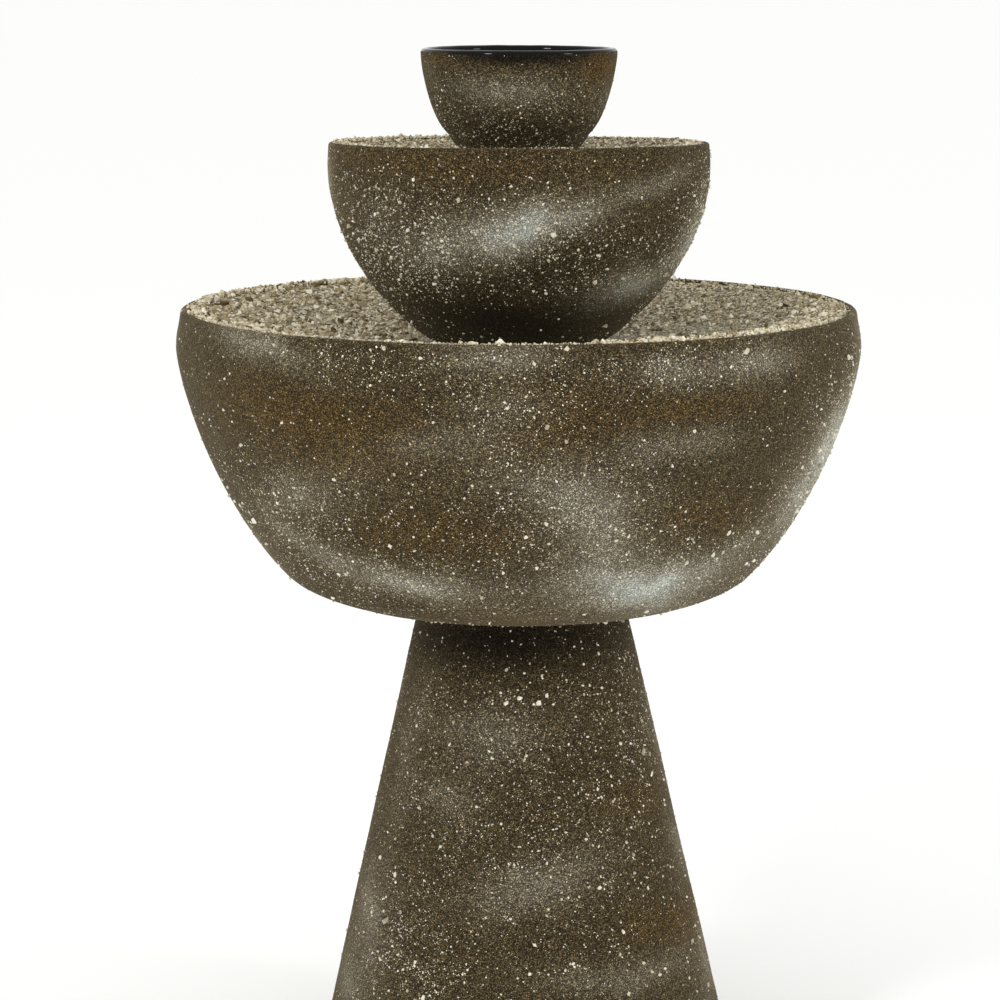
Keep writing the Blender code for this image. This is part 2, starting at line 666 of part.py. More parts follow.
def make_gland():
    """Flanged body, rubber washer, nut, rubber seal round the lead, and the cap over it."""
    place = (GLAND_X, GLAND_Y, 0)
    bore = LEAD_RADIUS + 2 * GAP
    washer_top = LOWER_FLOOR_Z + GAP + SEAL_THICKNESS
    flange = washer_top + GAP
    cup = flange + GLAND_FLANGE_HEIGHT
    cup_top = cup + GLAND_CUP_HEIGHT
    tail = PLATE_UNDER_Z - GAP - NUT_HEIGHT - GLAND_TAIL
    seal_foot = cup_top - GLAND_SEAL_HEIGHT
    flange_radius = GLAND_ACROSS_FLATS / 2
    cup_radius = flange_radius - GLAND_CAP_WALL - GAP
    body = [
        (bore, tail),
        (GLAND_THREAD_RADIUS, tail),
        (GLAND_THREAD_RADIUS, flange),
        (flange_radius, flange),
        (flange_radius, cup),
        (cup_radius, cup),
        (cup_radius, cup_top),
        (GLAND_SEAL_RADIUS + GAP, cup_top),
        (GLAND_SEAL_RADIUS + GAP, seal_foot),
        (bore, seal_foot),
    ]
    turned("gland_body", body, BLACK_PLASTIC, FITTING_SIDES, place)
    washer = ring_section(
        GLAND_THREAD_RADIUS + GAP, flange_radius + 1 * MM, LOWER_FLOOR_Z + GAP, washer_top
    )
    turned("gland_washer", washer, RUBBER, FITTING_SIDES, place)
    seal = ring_section(LEAD_RADIUS + GAP, GLAND_SEAL_RADIUS, seal_foot + GAP, cup_top)
    turned("gland_seal", seal, RUBBER, SMALL_SIDES, place)
    roof = cup_top + GAP
    cap = rounded(
        [
            (cup_radius + GAP, cup + GAP, 0),
            (flange_radius, cup + GAP, 0),
            (flange_radius, roof + GLAND_CAP_ROOF, 1.2 * MM),
            (bore, roof + GLAND_CAP_ROOF, 0),
            (bore, roof, 0),
            (cup_radius + GAP, roof, 0),
        ],
        2,
    )
    turned("gland_cap", cap, BLACK_PLASTIC, FITTING_SIDES, place)
    hexagon_ring(
        "gland_nut",
        GLAND_ACROSS_FLATS,
        GLAND_THREAD_RADIUS + GAP,
        NUT_HEIGHT,
        BLACK_PLASTIC,
        (GLAND_X, GLAND_Y, PLATE_UNDER_Z - GAP - NUT_HEIGHT),
    )


# ---- The pump ---------------------------------------------------------------------------
ALONG_Y = (math.pi / 2, 0, 0)  # turns a piece's own +Z to -Y, so its heights read as -y


def pump_empty():
    made = bpy.data.objects.new("pump_axis", None)
    made.location = (0, 0, PUMP_AXIS_Z)
    bpy.context.scene.collection.objects.link(made)
    return made


def along_pump(points):
    """(radius, y) points as a spun outline for a piece that is turned ALONG_Y."""
    return [(radius, -y) for radius, y in points]


def pump_ring(inner, outer, front, back):
    return along_pump([(inner, front), (outer, front), (outer, back), (inner, back)])


def make_motor(axis):
    size = (PUMP_WIDTH, MOTOR_LENGTH, PUMP_HEIGHT)
    middle = (0, (MOTOR_FRONT_Y + MOTOR_BACK_Y) / 2, 0)
    motor = block("motor_housing", size, BLACK_PLASTIC, PUMP_EDGE, middle)
    motor.parent = axis
    well_radius = ROTOR_RADIUS + ROTOR_PLAY
    socket = BUSH_RADIUS + GAP
    well = along_pump(
        [
            (0, MOTOR_FRONT_Y - CUT),
            (well_radius, MOTOR_FRONT_Y - CUT),
            (well_radius, WELL_BACK_Y),
            (socket, WELL_BACK_Y),
            (socket, WELL_BACK_Y + BUSH_SOCKET + GAP),
            (0, WELL_BACK_Y + BUSH_SOCKET + GAP),
        ]
    )
    cutter = helper(turned("rotor_well", well, STEEL, FITTING_SIDES, turn=ALONG_Y))
    cutter.parent = axis
    join_or_cut(motor, cutter, "DIFFERENCE")
    cup_sockets(motor, [CUP_BACK_Y])
    relief = along_pump(
        [
            (LEAD_RADIUS + GAP, MOTOR_BACK_Y + GAP),
            (LEAD_RELIEF_RADIUS, MOTOR_BACK_Y + GAP),
            (LEAD_RADIUS + 1 * MM, MOTOR_BACK_Y + LEAD_RELIEF_LENGTH),
            (LEAD_RADIUS + GAP, MOTOR_BACK_Y + LEAD_RELIEF_LENGTH),
        ]
    )
    turned("lead_relief", relief, RUBBER, SMALL_SIDES, turn=ALONG_Y).parent = axis


def cup_sockets(solid, rows):
    """Blind holes in the pump's underside for the suction cups' pegs."""
    places = [(side * CUP_SPREAD, y) for y in rows for side in (-1, 1)]
    top = PUMP_BOTTOM_Z + CUP_PEG_LENGTH + GAP
    pegs = rods(
        solid.name + "_cups", CUP_PEG_RADIUS + GAP, PUMP_BOTTOM_Z - CUT, top, places, sides=10
    )
    join_or_cut(solid, pegs, "DIFFERENCE")


def make_volute(axis):
    """The chamber that the impeller turns in, with the outlet nozzle on top."""
    size = (PUMP_WIDTH, VOLUTE_LENGTH, PUMP_HEIGHT)
    volute = block("volute_housing", size, BLACK_PLASTIC, PUMP_EDGE)
    volute.parent = axis
    nozzle_top = PUMP_HEIGHT / 2 + NOZZLE_LENGTH
    nozzle = rods(
        "outlet_nozzle", NOZZLE_RADIUS, PUMP_HEIGHT / 4, nozzle_top, [(0, 0)], sides=16
    )
    bore = rods("outlet_bore", NOZZLE_BORE_RADIUS, VOLUTE_RADIUS / 2, nozzle_top + CUT, [(0, 0)])
    socket = BUSH_RADIUS + GAP
    chamber = along_pump(
        [
            (0, CHAMBER_FRONT_Y - BUSH_SOCKET - GAP),
            (socket, CHAMBER_FRONT_Y - BUSH_SOCKET - GAP),
            (socket, CHAMBER_FRONT_Y),
            (VOLUTE_RADIUS, CHAMBER_FRONT_Y),
            (VOLUTE_RADIUS, VOLUTE_BACK_Y + CUT),
            (0, VOLUTE_BACK_Y + CUT),
        ]
    )
    cavity = helper(turned("volute_chamber", chamber, STEEL, FITTING_SIDES, turn=ALONG_Y))
    ports = rods(
        "intake_ports",
        INTAKE_PORT_RADIUS,
        -CHAMBER_FRONT_Y - 1 * MM,
        -VOLUTE_FRONT_Y + CUT,
        on_circle(INTAKE_PORTS, INTAKE_PORT_CIRCLE, math.radians(45)),
        turn=ALONG_Y,
        sides=10,
    )
    groove_radius = VOLUTE_RADIUS + 2 * O_RING_RADIUS
    groove_half = O_RING_RADIUS + GAP
    groove_section = pump_ring(
        groove_radius - groove_half,
        groove_radius + groove_half,
        VOLUTE_BACK_Y - 2 * O_RING_RADIUS - GAP,
        VOLUTE_BACK_Y + CUT,
    )
    groove = helper(turned("ring_groove", groove_section, STEEL, FITTING_SIDES, turn=ALONG_Y))
    for other, operation in (
        (nozzle, "UNION"),
        (bore, "DIFFERENCE"),
        (cavity, "DIFFERENCE"),
        (ports, "DIFFERENCE"),
        (groove, "DIFFERENCE"),
    ):
        other.parent = axis
        join_or_cut(volute, other, operation)
    cup_sockets(volute, [CUP_FRONT_Y])
    ring = o_ring("volute_ring", groove_radius, VOLUTE_BACK_Y - O_RING_RADIUS, ALONG_Y)
    ring.parent = axis


def o_ring(name, radius, along, turn=(0, 0, 0), place=(0, 0, 0)):
    """A rubber ring. along is its place on its own axis: a y where it is turned ALONG_Y."""
    height = -along if turn == ALONG_Y else along
    outline = [
        (radius + O_RING_RADIUS * math.cos(a), height + O_RING_RADIUS * math.sin(a))
        for a in (math.tau * step / 6 for step in range(6))
    ]
    return turned(name, outline, RUBBER, FITTING_SIDES, place, turn)


def make_rotor(axis):
    """Magnet and impeller turn together on a fixed shaft between two rubber bushes."""
    bore = SHAFT_RADIUS + GAP
    pieces = {
        "rotor_magnet": (pump_ring(bore, ROTOR_RADIUS, ROTOR_FRONT_Y, ROTOR_BACK_Y), MAGNET),
        "front_bush": (
            pump_ring(
                bore,
                BUSH_RADIUS,
                CHAMBER_FRONT_Y - BUSH_SOCKET,
                CHAMBER_FRONT_Y - BUSH_SOCKET + BUSH_LENGTH,
            ),
            RUBBER,
        ),
        "rear_bush": (
            pump_ring(
                bore,
                BUSH_RADIUS,
                WELL_BACK_Y + BUSH_SOCKET - BUSH_LENGTH,
                WELL_BACK_Y + BUSH_SOCKET,
            ),
            RUBBER,
        ),
        "rotor_shaft": (
            pump_ring(
                0, SHAFT_RADIUS, CHAMBER_FRONT_Y - BUSH_SOCKET, WELL_BACK_Y + BUSH_SOCKET
            ),
            WHITE_CERAMIC,
        ),
    }
    for name, (section, finish) in pieces.items():
        turned(name, section, finish, SMALL_SIDES, turn=ALONG_Y).parent = axis
    disc_front = IMPELLER_BACK_Y - IMPELLER_DISC
    hub = along_pump(
        [
            (bore, IMPELLER_FRONT_Y),
            (IMPELLER_HUB_RADIUS, IMPELLER_FRONT_Y),
            (IMPELLER_HUB_RADIUS, disc_front),
            (IMPELLER_RADIUS, disc_front),
            (IMPELLER_RADIUS, IMPELLER_BACK_Y),
            (IMPELLER_HUB_RADIUS, IMPELLER_BACK_Y),
            (IMPELLER_HUB_RADIUS, ROTOR_FRONT_Y - GAP),
            (bore, ROTOR_FRONT_Y - GAP),
        ]
    )
    impeller = turned("impeller", hub, WHITE_PLASTIC, FITTING_SIDES, turn=ALONG_Y)
    impeller.parent = axis
    root = IMPELLER_HUB_RADIUS - 1 * MM
    reach = IMPELLER_RADIUS - 0.5 * MM - root
    depth = IMPELLER_WIDTH + IMPELLER_DISC / 2
    for number in range(VANE_COUNT):
        angle = math.tau * number / VANE_COUNT
        middle = Matrix.Rotation(angle, 4, "Y") @ Vector((root + reach / 2, 0, 0))
        middle.y = IMPELLER_FRONT_Y + depth / 2
        vane = block(
            f"vane_{number}", (reach, depth, VANE_THICKNESS), WHITE_PLASTIC, 0, middle, (0, angle, 0)
        )
        helper(vane).parent = axis
        join_or_cut(impeller, vane, "UNION")


def make_grille(axis):
    """The slotted strainer that plugs on the front of the pump, and the flow dial on it."""
    size = (PUMP_WIDTH, GRILLE_LENGTH, PUMP_HEIGHT)
    middle = (0, (GRILLE_FRONT_Y + GRILLE_BACK_Y) / 2, 0)
    grille = block("intake_grille", size, BLACK_PLASTIC, PUMP_EDGE / 2, middle)
    hollow_size = (PUMP_WIDTH - 2 * GRILLE_WALL, GRILLE_LENGTH, PUMP_HEIGHT - 2 * GRILLE_WALL)
    hollow_place = (0, middle[1] + GRILLE_WALL, 0)
    cutters = [block("grille_hollow", hollow_size, STEEL, 0, hollow_place)]
    slot_size = (GRILLE_SLOT_WIDTH, 2 * CUT, DIAL_RADIUS)
    for side in (-1, 1):
        for number in range(GRILLE_SLOTS):
            x = (number - (GRILLE_SLOTS - 1) / 2) * 2.4 * GRILLE_SLOT_WIDTH
            z = side * (PUMP_HEIGHT - DIAL_RADIUS) / 2 - side * 1.5 * GRILLE_WALL
            cutters.append(
                block(f"slot_{side}_{number}", slot_size, STEEL, 0, (x, GRILLE_FRONT_Y, z))
            )
    stem_hole = DIAL_STEM_RADIUS + GAP
    cutters.append(
        rods("stem_hole", stem_hole, -GRILLE_BACK_Y, -GRILLE_FRONT_Y + CUT, [(0, 0)], turn=ALONG_Y)
    )
    for cutter in cutters:
        helper(cutter).parent = axis
        join_or_cut(grille, cutter, "DIFFERENCE")
    grille.parent = axis
    face = GRILLE_FRONT_Y - GAP
    inside = GRILLE_FRONT_Y + GRILLE_WALL + GAP
    dial_outline = along_pump(
        [
            (0, face - DIAL_THICKNESS),
            (DIAL_RADIUS, face - DIAL_THICKNESS),
            (DIAL_RADIUS, face),
            (DIAL_STEM_RADIUS, face),
            (DIAL_STEM_RADIUS, inside),
            (DIAL_STEM_RADIUS + 1 * MM, inside),
            (DIAL_STEM_RADIUS + 1 * MM, inside + 1 * MM),
            (0, inside + 1 * MM),
        ]
    )
    dial = turned("flow_dial", dial_outline, WHITE_PLASTIC, FITTING_SIDES, turn=ALONG_Y)
    dial.parent = axis
    grip_size = (2 * DIAL_RADIUS - 3 * MM, DIAL_GRIP + 1 * MM, 2 * MM)
    grip_place = (0, face - DIAL_THICKNESS - DIAL_GRIP / 2, 0)
    grip = helper(block("dial_grip", grip_size, WHITE_PLASTIC, 0.4 * MM, grip_place))
    grip.parent = axis
    join_or_cut(dial, grip, "UNION")


def make_suction_cups():
    low = GAP
    top = CUP_HEIGHT - GAP
    cup = [
        (0, low + 2 * MM),
        (CUP_RADIUS - 0.8 * MM, low),
        (CUP_RADIUS, low),
        (CUP_RADIUS, low + 0.7 * MM),
        (CUP_NECK_RADIUS + 0.6 * MM, low + 3.5 * MM),
        (CUP_NECK_RADIUS, low + 5 * MM),
        (CUP_NECK_RADIUS + 1 * MM, top),
        (CUP_PEG_RADIUS, top),
        (CUP_PEG_RADIUS, top + CUP_PEG_LENGTH),
        (0, top + CUP_PEG_LENGTH),
    ]
    places = [(side * CUP_SPREAD, y) for y in (CUP_FRONT_Y, CUP_BACK_Y) for side in (-1, 1)]
    for number, (x, y) in enumerate(places, 1):
        turned(f"suction_cup_{number}", cup, RUBBER, SMALL_SIDES, (x, y, LOWER_FLOOR_Z))


def make_pump():
    axis = pump_empty()
    make_motor(axis)
    make_volute(axis)
    make_rotor(axis)
    make_grille(axis)
    make_suction_cups()


def make_lead(socket_back, outward):
    """The pump's lead: out of the motor, round and down the gland, down the pedestal."""
    gland_top = LOWER_FLOOR_Z + 26 * MM
    gland_foot = PLATE_UNDER_Z - 12 * MM
    start = Vector((0, MOTOR_BACK_Y + 2 * GAP, PUMP_AXIS_Z))
    route = [
        start,
        start + Vector((0, 8, 0)) * MM,
        start + Vector((0, LEAD_RELIEF_LENGTH + 3 * MM, 0)),
        start + Vector((-4, 28, 0)) * MM,
        start + Vector((-17, 38, 1)) * MM,
        start + Vector((-34, 36, 3)) * MM,
        start + Vector((-44, 22, 5)) * MM,
        start + Vector((-46, 2, 6)) * MM,
        Vector((GLAND_X - 18 * MM, GLAND_Y + 30 * MM, gland_top + 14 * MM)),
        Vector((GLAND_X - 9 * MM, GLAND_Y + 15 * MM, gland_top + 18 * MM)),
        Vector((GLAND_X - 2 * MM, GLAND_Y + 4 * MM, gland_top + 12 * MM)),
        Vector((GLAND_X, GLAND_Y, gland_top)),
        Vector((GLAND_X, GLAND_Y, gland_top - 12 * MM)),
        Vector((GLAND_X, GLAND_Y, (gland_top + gland_foot) / 2)),
        Vector((GLAND_X, GLAND_Y, gland_foot)),
        Vector((GLAND_X, GLAND_Y + 2 * MM, gland_foot - 35 * MM)),
        Vector((GLAND_X + 4 * MM, GLAND_Y + 10 * MM, gland_foot - 80 * MM)),
        Vector((GLAND_X + 12 * MM, GLAND_Y + 24 * MM, gland_foot - 125 * MM)),
        socket_back + Vector((-5, -28, 12)) * MM,
        socket_back - outward * 14 * MM,
        socket_back - outward * 5 * MM,
        socket_back - outward * GAP,
    ]
    points = smooth_through(route, 3)
    curve = bpy.data.curves.new("pump_lead", "CURVE")
    curve.dimensions = "3D"
    curve.bevel_depth = LEAD_RADIUS
    curve.bevel_resolution = 1
    curve.use_fill_caps = True
    spline = curve.splines.new("POLY")
    spline.points.add(len(points) - 1)
    for target, point in zip(spline.points, points):
        target.co = (*point, 1)
    curve.materials.append(BLACK_PLASTIC)
    lead = bpy.data.objects.new("pump_lead", curve)
    bpy.context.scene.collection.objects.link(lead)


def smooth_through(points, steps):
    """Points along a smooth curve through the given ones."""
    ends = [2 * points[0] - points[1], *points, 2 * points[-1] - points[-2]]
    found = []
    for before, here, there, after in zip(ends, ends[1:], ends[2:], ends[3:]):
        span = (there - here).length
        leave = (there - before).normalized() * span / 3
        arrive = (after - here).normalized() * span / 3
        stretch = interpolate_bezier(here, here + leave, there - arrive, there, steps + 1)
        found.extend(stretch[:-1])
    return [*found, points[-1]]


# ---- The tiers above --------------------------------------------------------------------
def make_lower_deck():
    opening = GRATE_RADIUS + GAP - GRATE_SEAT
    section = deck_section(
        LOWER, LOWER_DECK, opening, (GRATE_RADIUS + GAP, GRATE_THICKNESS + GAP)
    )
    turned("lower_deck", section, GRIT, BOWL_SIDES, (0, 0, LOWER_RIM_Z))
    top = LOWER_DECK_Z
    grate = turned(
        "drain_grate",
        ring_section(GRATE_HOLE, GRATE_RADIUS, top - GRATE_THICKNESS, top),
        STEEL,
        2 * FITTING_SIDES,
    )
    hole_circle = opening - GRATE_HOLE_RADIUS - 1 * MM
    holes = rods(
        "grate_holes",
        GRATE_HOLE_RADIUS,
        top - GRATE_THICKNESS - CUT,
        top + CUT,
        on_circle(GRATE_HOLES, hole_circle),
        sides=8,
    )
    join_or_cut(grate, holes, "DIFFERENCE")


def foot_ring(name, bowl, thickness, bottom):
    outer = bowl.foot_radius - RING_MARGIN
    section = ring_section(outer - RING_WIDTH, outer, bottom + GAP, bottom + GAP + thickness)
    turned(name, section, RUBBER, 2 * FITTING_SIDES)


def make_middle_tier():
    hole = GROMMET_RADIUS + GAP
    section = bowl_section(MIDDLE, MIDDLE_DECK, hole)
    turned("middle_bowl", section, STONE, BOWL_SIDES, (0, 0, MIDDLE_Z))
    foot_ring("middle_foot_ring", MIDDLE, MIDDLE_RING_THICKNESS, LOWER_DECK_Z)
    bore = RISER_RADIUS + GAP
    lip = GROMMET_RADIUS + GROMMET_LIP
    low, high = MIDDLE_Z - GAP, MIDDLE_FLOOR_Z + GAP
    grommet = [
        (bore, low - GROMMET_LIP_HEIGHT),
        (lip, low - GROMMET_LIP_HEIGHT),
        (lip, low),
        (GROMMET_RADIUS, low),
        (GROMMET_RADIUS, high),
        (lip, high),
        (lip, high + 2 * GROMMET_LIP_HEIGHT),
        (bore, high + 2 * GROMMET_LIP_HEIGHT),
    ]
    turned("riser_grommet", grommet, RUBBER, FITTING_SIDES)
    deck = deck_section(MIDDLE, MIDDLE_DECK, MIDDLE_DECK_HOLE)
    turned("middle_deck", deck, GRIT, BOWL_SIDES, (0, 0, MIDDLE_RIM_Z))


def make_top_tier():
    section = bowl_section(TOP, None, STEM_RADIUS + GAP)
    turned("top_bowl", section, GLAZE, 2 * FITTING_SIDES, (0, 0, TOP_Z))
    foot_ring("top_foot_ring", TOP, TOP_RING_THICKNESS, MIDDLE_DECK_Z)
    washer_top = TOP_FLOOR_Z + GAP + FITTING_WASHER
    flange = washer_top + GAP
    flange_top = flange + FITTING_FLANGE_HEIGHT
    stem_foot = NUT_UNDER_TOP_Z - 1 * MM
    spigot_foot = RISER_TOP_Z - SPIGOT_LENGTH
    groove = spigot_foot + 5 * MM
    groove_half = O_RING_RADIUS + GAP
    groove_radius = NOZZLE_RADIUS - O_RING_RADIUS
    fitting = [
        (NOZZLE_BORE_RADIUS, spigot_foot),
        (NOZZLE_RADIUS, spigot_foot),
        (NOZZLE_RADIUS, groove - groove_half),
        (groove_radius, groove - groove_half),
        (groove_radius, groove + groove_half),
        (NOZZLE_RADIUS, groove + groove_half),
        (NOZZLE_RADIUS, stem_foot),
        (STEM_RADIUS, stem_foot),
        (STEM_RADIUS, flange),
        (FITTING_FLANGE_RADIUS, flange),
        (FITTING_FLANGE_RADIUS, flange_top),
        (NOZZLE_BORE_RADIUS, flange_top),
    ]
    turned("top_fitting", fitting, BRASS, FITTING_SIDES)
    washer = ring_section(
        STEM_RADIUS + GAP, FITTING_FLANGE_RADIUS, TOP_FLOOR_Z + GAP, washer_top
    )
    turned("fitting_washer", washer, RUBBER, FITTING_SIDES)
    hexagon_ring(
        "fitting_nut",
        FITTING_NUT_ACROSS_FLATS,
        STEM_RADIUS + GAP,
        FITTING_NUT_HEIGHT,
        BRASS,
        (0, 0, NUT_UNDER_TOP_Z),
    )


def make_riser():
    tube = ring_section(RISER_BORE_RADIUS, RISER_RADIUS, RISER_FOOT_Z, RISER_TOP_Z)
    turned("riser_tube", tube, CLEAR_TUBE, FITTING_SIDES)


for old in list(bpy.data.objects):
    bpy.data.objects.remove(old)

STONE = material("sprayed_stoneware", (0.075, 0.055, 0.032), 0.9)
GRIT = material("bonded_grit", (0.30, 0.26, 0.18), 0.95)
GLAZE = material("black_glazed_stoneware", (0.03, 0.028, 0.024), 0.25)
RUBBER = material("black_rubber", (0.02, 0.02, 0.02), 0.8)
BLACK_PLASTIC = material("black_plastic", (0.018, 0.018, 0.02), 0.45)
WHITE_PLASTIC = material("white_plastic", (0.75, 0.75, 0.72), 0.4)
WHITE_CERAMIC = material("white_ceramic", (0.85, 0.84, 0.8), 0.3)
MAGNET = material("ferrite_magnet", (0.06, 0.06, 0.065), 0.5)
STEEL = material("stainless_steel", (0.55, 0.55, 0.56), 0.3, 1.0)
BRASS = material("brass", (0.75, 0.52, 0.2), 0.3, 1.0)
CLEAR_TUBE = material("clear_vinyl", (0.7, 0.74, 0.72), 0.15)

the_pedestal = make_pedestal()
inlet_back, inlet_outward = make_inlet(the_pedestal)
make_lower_bowl(the_pedestal)
make_gland()
make_pump()
make_lead(inlet_back, inlet_outward)
make_riser()
make_lower_deck()
make_middle_tier()
make_top_tier()
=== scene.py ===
"""Tabletop water fountain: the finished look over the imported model.

The three bowls, their decks and the pedestal are made again as finely turned shells with
a sprayed sand coat, bonded grit and black glaze. The pump, fasteners and riser keep their
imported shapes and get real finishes. Metres, +Z up, the front faces -Y.
"""

import json
import math
import random
from collections import namedtuple

import bmesh
import bpy
import numpy as np
from mathutils import Matrix, Vector, noise
from mathutils.geometry import interpolate_bezier


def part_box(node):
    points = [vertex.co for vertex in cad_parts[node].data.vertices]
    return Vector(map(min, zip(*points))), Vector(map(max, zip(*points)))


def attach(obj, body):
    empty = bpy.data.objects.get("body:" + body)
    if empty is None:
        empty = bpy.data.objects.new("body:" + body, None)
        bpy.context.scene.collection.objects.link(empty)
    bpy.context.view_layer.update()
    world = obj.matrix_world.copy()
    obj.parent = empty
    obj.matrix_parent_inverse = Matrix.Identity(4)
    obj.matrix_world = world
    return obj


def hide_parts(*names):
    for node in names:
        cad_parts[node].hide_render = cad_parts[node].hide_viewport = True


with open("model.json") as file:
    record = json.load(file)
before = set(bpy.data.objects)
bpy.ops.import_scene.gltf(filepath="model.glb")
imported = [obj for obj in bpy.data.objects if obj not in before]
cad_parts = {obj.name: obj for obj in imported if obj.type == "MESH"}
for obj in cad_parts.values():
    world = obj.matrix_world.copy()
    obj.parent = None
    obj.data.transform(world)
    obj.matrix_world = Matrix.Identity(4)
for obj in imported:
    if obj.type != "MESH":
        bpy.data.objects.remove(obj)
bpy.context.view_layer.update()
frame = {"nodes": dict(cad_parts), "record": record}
noise.seed_set(1)  # without this, noise_vector gives other values on each run

MM = 0.001
UP = Vector((0, 0, 1))

# ---- The shells' shapes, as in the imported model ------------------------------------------
Bowl = namedtuple(
    "Bowl",
    "rim_radius height bulge belly_drop knee_inset knee_height knee_slope fullness"
    " foot_radius wall floor lean",
)
Deck = namedtuple("Deck", "edge_drop depth thickness flat_radius dish hole seat_radius seat_depth")

LOWER = Bowl(
    rim_radius=148 * MM,
    height=131.5 * MM,
    bulge=2 * MM,
    belly_drop=16 * MM,
    knee_inset=46 * MM,
    knee_height=16 * MM,
    knee_slope=math.radians(46),
    fullness=(0.43, 0.21, 0.41, 0.12),
    foot_radius=39 * MM,
    wall=9 * MM,
    floor=9 * MM,
    lean=0,
)
MIDDLE = Bowl(
    rim_radius=83 * MM,
    height=87.5 * MM,
    bulge=0.4 * MM,
    belly_drop=10 * MM,
    knee_inset=29 * MM,
    knee_height=14.5 * MM,
    knee_slope=math.radians(43),
    fullness=(0.375, 0.59, 0.26, 0.37),
    foot_radius=27 * MM,
    wall=7 * MM,
    floor=7 * MM,
    lean=math.radians(-1.3),
)
TOP = Bowl(
    rim_radius=42.7 * MM,
    height=50 * MM,
    bulge=0,
    belly_drop=3 * MM,
    knee_inset=11.8 * MM,
    knee_height=12.9 * MM,
    knee_slope=math.radians(44.5),
    fullness=(0.25, 0.06, 0.36, 0.03),
    foot_radius=19 * MM,
    wall=3.6 * MM,
    floor=5 * MM,
    lean=0,
)
LEDGE_WIDTH = 4 * MM
DECK_PLAY = 0.4 * MM
GAP = 0.3 * MM
LOWER_DECK = Deck(
    edge_drop=1.5 * MM,
    depth=17.8 * MM,
    thickness=6 * MM,
    flat_radius=58 * MM,
    dish=(0.35, 0.45),
    hole=33.3 * MM,
    seat_radius=37.3 * MM,
    seat_depth=3.3 * MM,
)
MIDDLE_DECK = Deck(
    edge_drop=1.2 * MM,
    depth=11 * MM,
    thickness=5 * MM,
    flat_radius=32 * MM,
    dish=(0.35, 0.45),
    hole=13.05 * MM,
    seat_radius=0,
    seat_depth=0,
)
PEDESTAL_BASE_RADIUS = 95 * MM
PEDESTAL_TOP_RADIUS = 46 * MM
PEDESTAL_HEIGHT = 215.3 * MM
PEDESTAL_WALL = 7 * MM
PEDESTAL_PLATE = 9 * MM
PEDESTAL_FLANGE = 16 * MM
PEDESTAL_FLANGE_HEIGHT = 8 * MM
PEDESTAL_EDGE = 1.2 * MM
PAD_STAND = 3 * MM
INLET_HEIGHT = 30 * MM

# The holes that the shells get for the pieces that pass through them.
SCREW_HOLE = 3.3 * MM
GLAND_HOLE = 6.3 * MM
PAD_HOLE = 6.3 * MM
RISER_HOLE = 9.1 * MM
FITTING_HOLE = 8 * MM
CUT = 5 * MM  # how far a drill runs past the face it cuts

# ---- What the hand-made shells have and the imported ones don't ----------------------------
PEDESTAL_LEAN = (1.6 * MM, 3.6 * MM)  # how far off centre the cone stands, top and base
LEAN_HEIGHT = 218 * MM  # above the table, where the first of these is reached
BOWL_UNEVEN = 0.35 * MM
PEDESTAL_UNEVEN = 0.4 * MM
GLAZED_LIP = 1.1 * MM  # how far the glaze comes down the outside all round
GLAZE_RUN = 1.2 * MM  # and how much further it has run at the front

# ---- Where the coat was sprayed unevenly, and where light and shade are painted on it ----
# A patch lies at an azimuth (degrees from the front, + to the right) and a height above the
# table in millimetres. It has half its width and half its height in millimetres, its tilt in
# degrees, and how strong it is at the middle. A coat lists the patches where it is misted
# pale, some at the sides also painted paler as light; where it is stained ochre; where it is
# painted near black, as shade under a bowl and, on the top bowl, where the glaze has run over
# the lip; and where crumbs have gathered in it.
Patch = namedtuple("Patch", "azimuth height half_width half_height tilt strength")
Coat = namedtuple("Coat", "mist ochre shade crumbs")

LOWER_COAT = Coat(
    mist=(
        Patch(-48, 346, 30, 6, -12, 0.45),
        Patch(-3, 345, 20, 6, 0, 0.4),
        Patch(24, 340, 17, 6, 0, 0.35),
        Patch(40, 341, 23, 7, 5, 0.45),
        Patch(-13, 311, 25, 7, 10, 0.25),
        Patch(-3, 326, 16, 6, 0, 0.2),
        Patch(27, 307, 25, 6, 0, 0.3),
        Patch(-42, 284, 32, 10, 20, 0.3),
        Patch(7, 292, 28, 9, -10, 0.4),
        Patch(13, 274, 25, 16, -45, 0.45),
        Patch(27, 243, 40, 11, -5, 0.85),
        Patch(43, 252, 28, 8, 10, 0.5),
        Patch(-37, 252, 40, 6, -15, 0.45),
        Patch(-21, 247, 21, 6, 0, 0.5),
        Patch(72, 303, 17, 30, -60, 0.8),
        Patch(69, 273, 22, 20, -50, 0.6),
        Patch(-78, 251, 14, 16, 60, 0.3),
        # These two lie at the bowl's sides: their pale is partly painted light, the brighter edge
        # that side light gives, and partly mist.
        Patch(-84, 325, 9, 34, 0, 0.3),
        Patch(80, 318, 14, 34, 0, 0.4),
    ),
    ochre=(
        Patch(-37, 319, 50, 12, 0, 0.6),
        Patch(6, 317, 24, 12, 0, 0.45),
        Patch(-16, 271, 33, 8, 0, 0.45),
        Patch(35, 274, 34, 10, 0, 0.4),
        Patch(28, 323, 27, 6, 0, 0.4),
        Patch(-29, 302, 27, 8, 0, 0.5),
        Patch(-3, 232, 30, 8, 0, 0.5),
    ),
    shade=(),
    crumbs=(
        Patch(-50, 270, 40, 25, 0, 0.7),
        Patch(0, 330, 25, 20, 0, 0.5),
        Patch(5, 280, 40, 25, 0, 0.6),
        Patch(72, 290, 30, 40, 0, 1.0),
        Patch(24, 342, 25, 8, 0, 0.8),
        Patch(-25, 345, 30, 8, 0, 0.6),
        Patch(40, 250, 40, 14, 0, 0.6),
        Patch(-30, 250, 50, 12, 0, 0.5),
    ),
)
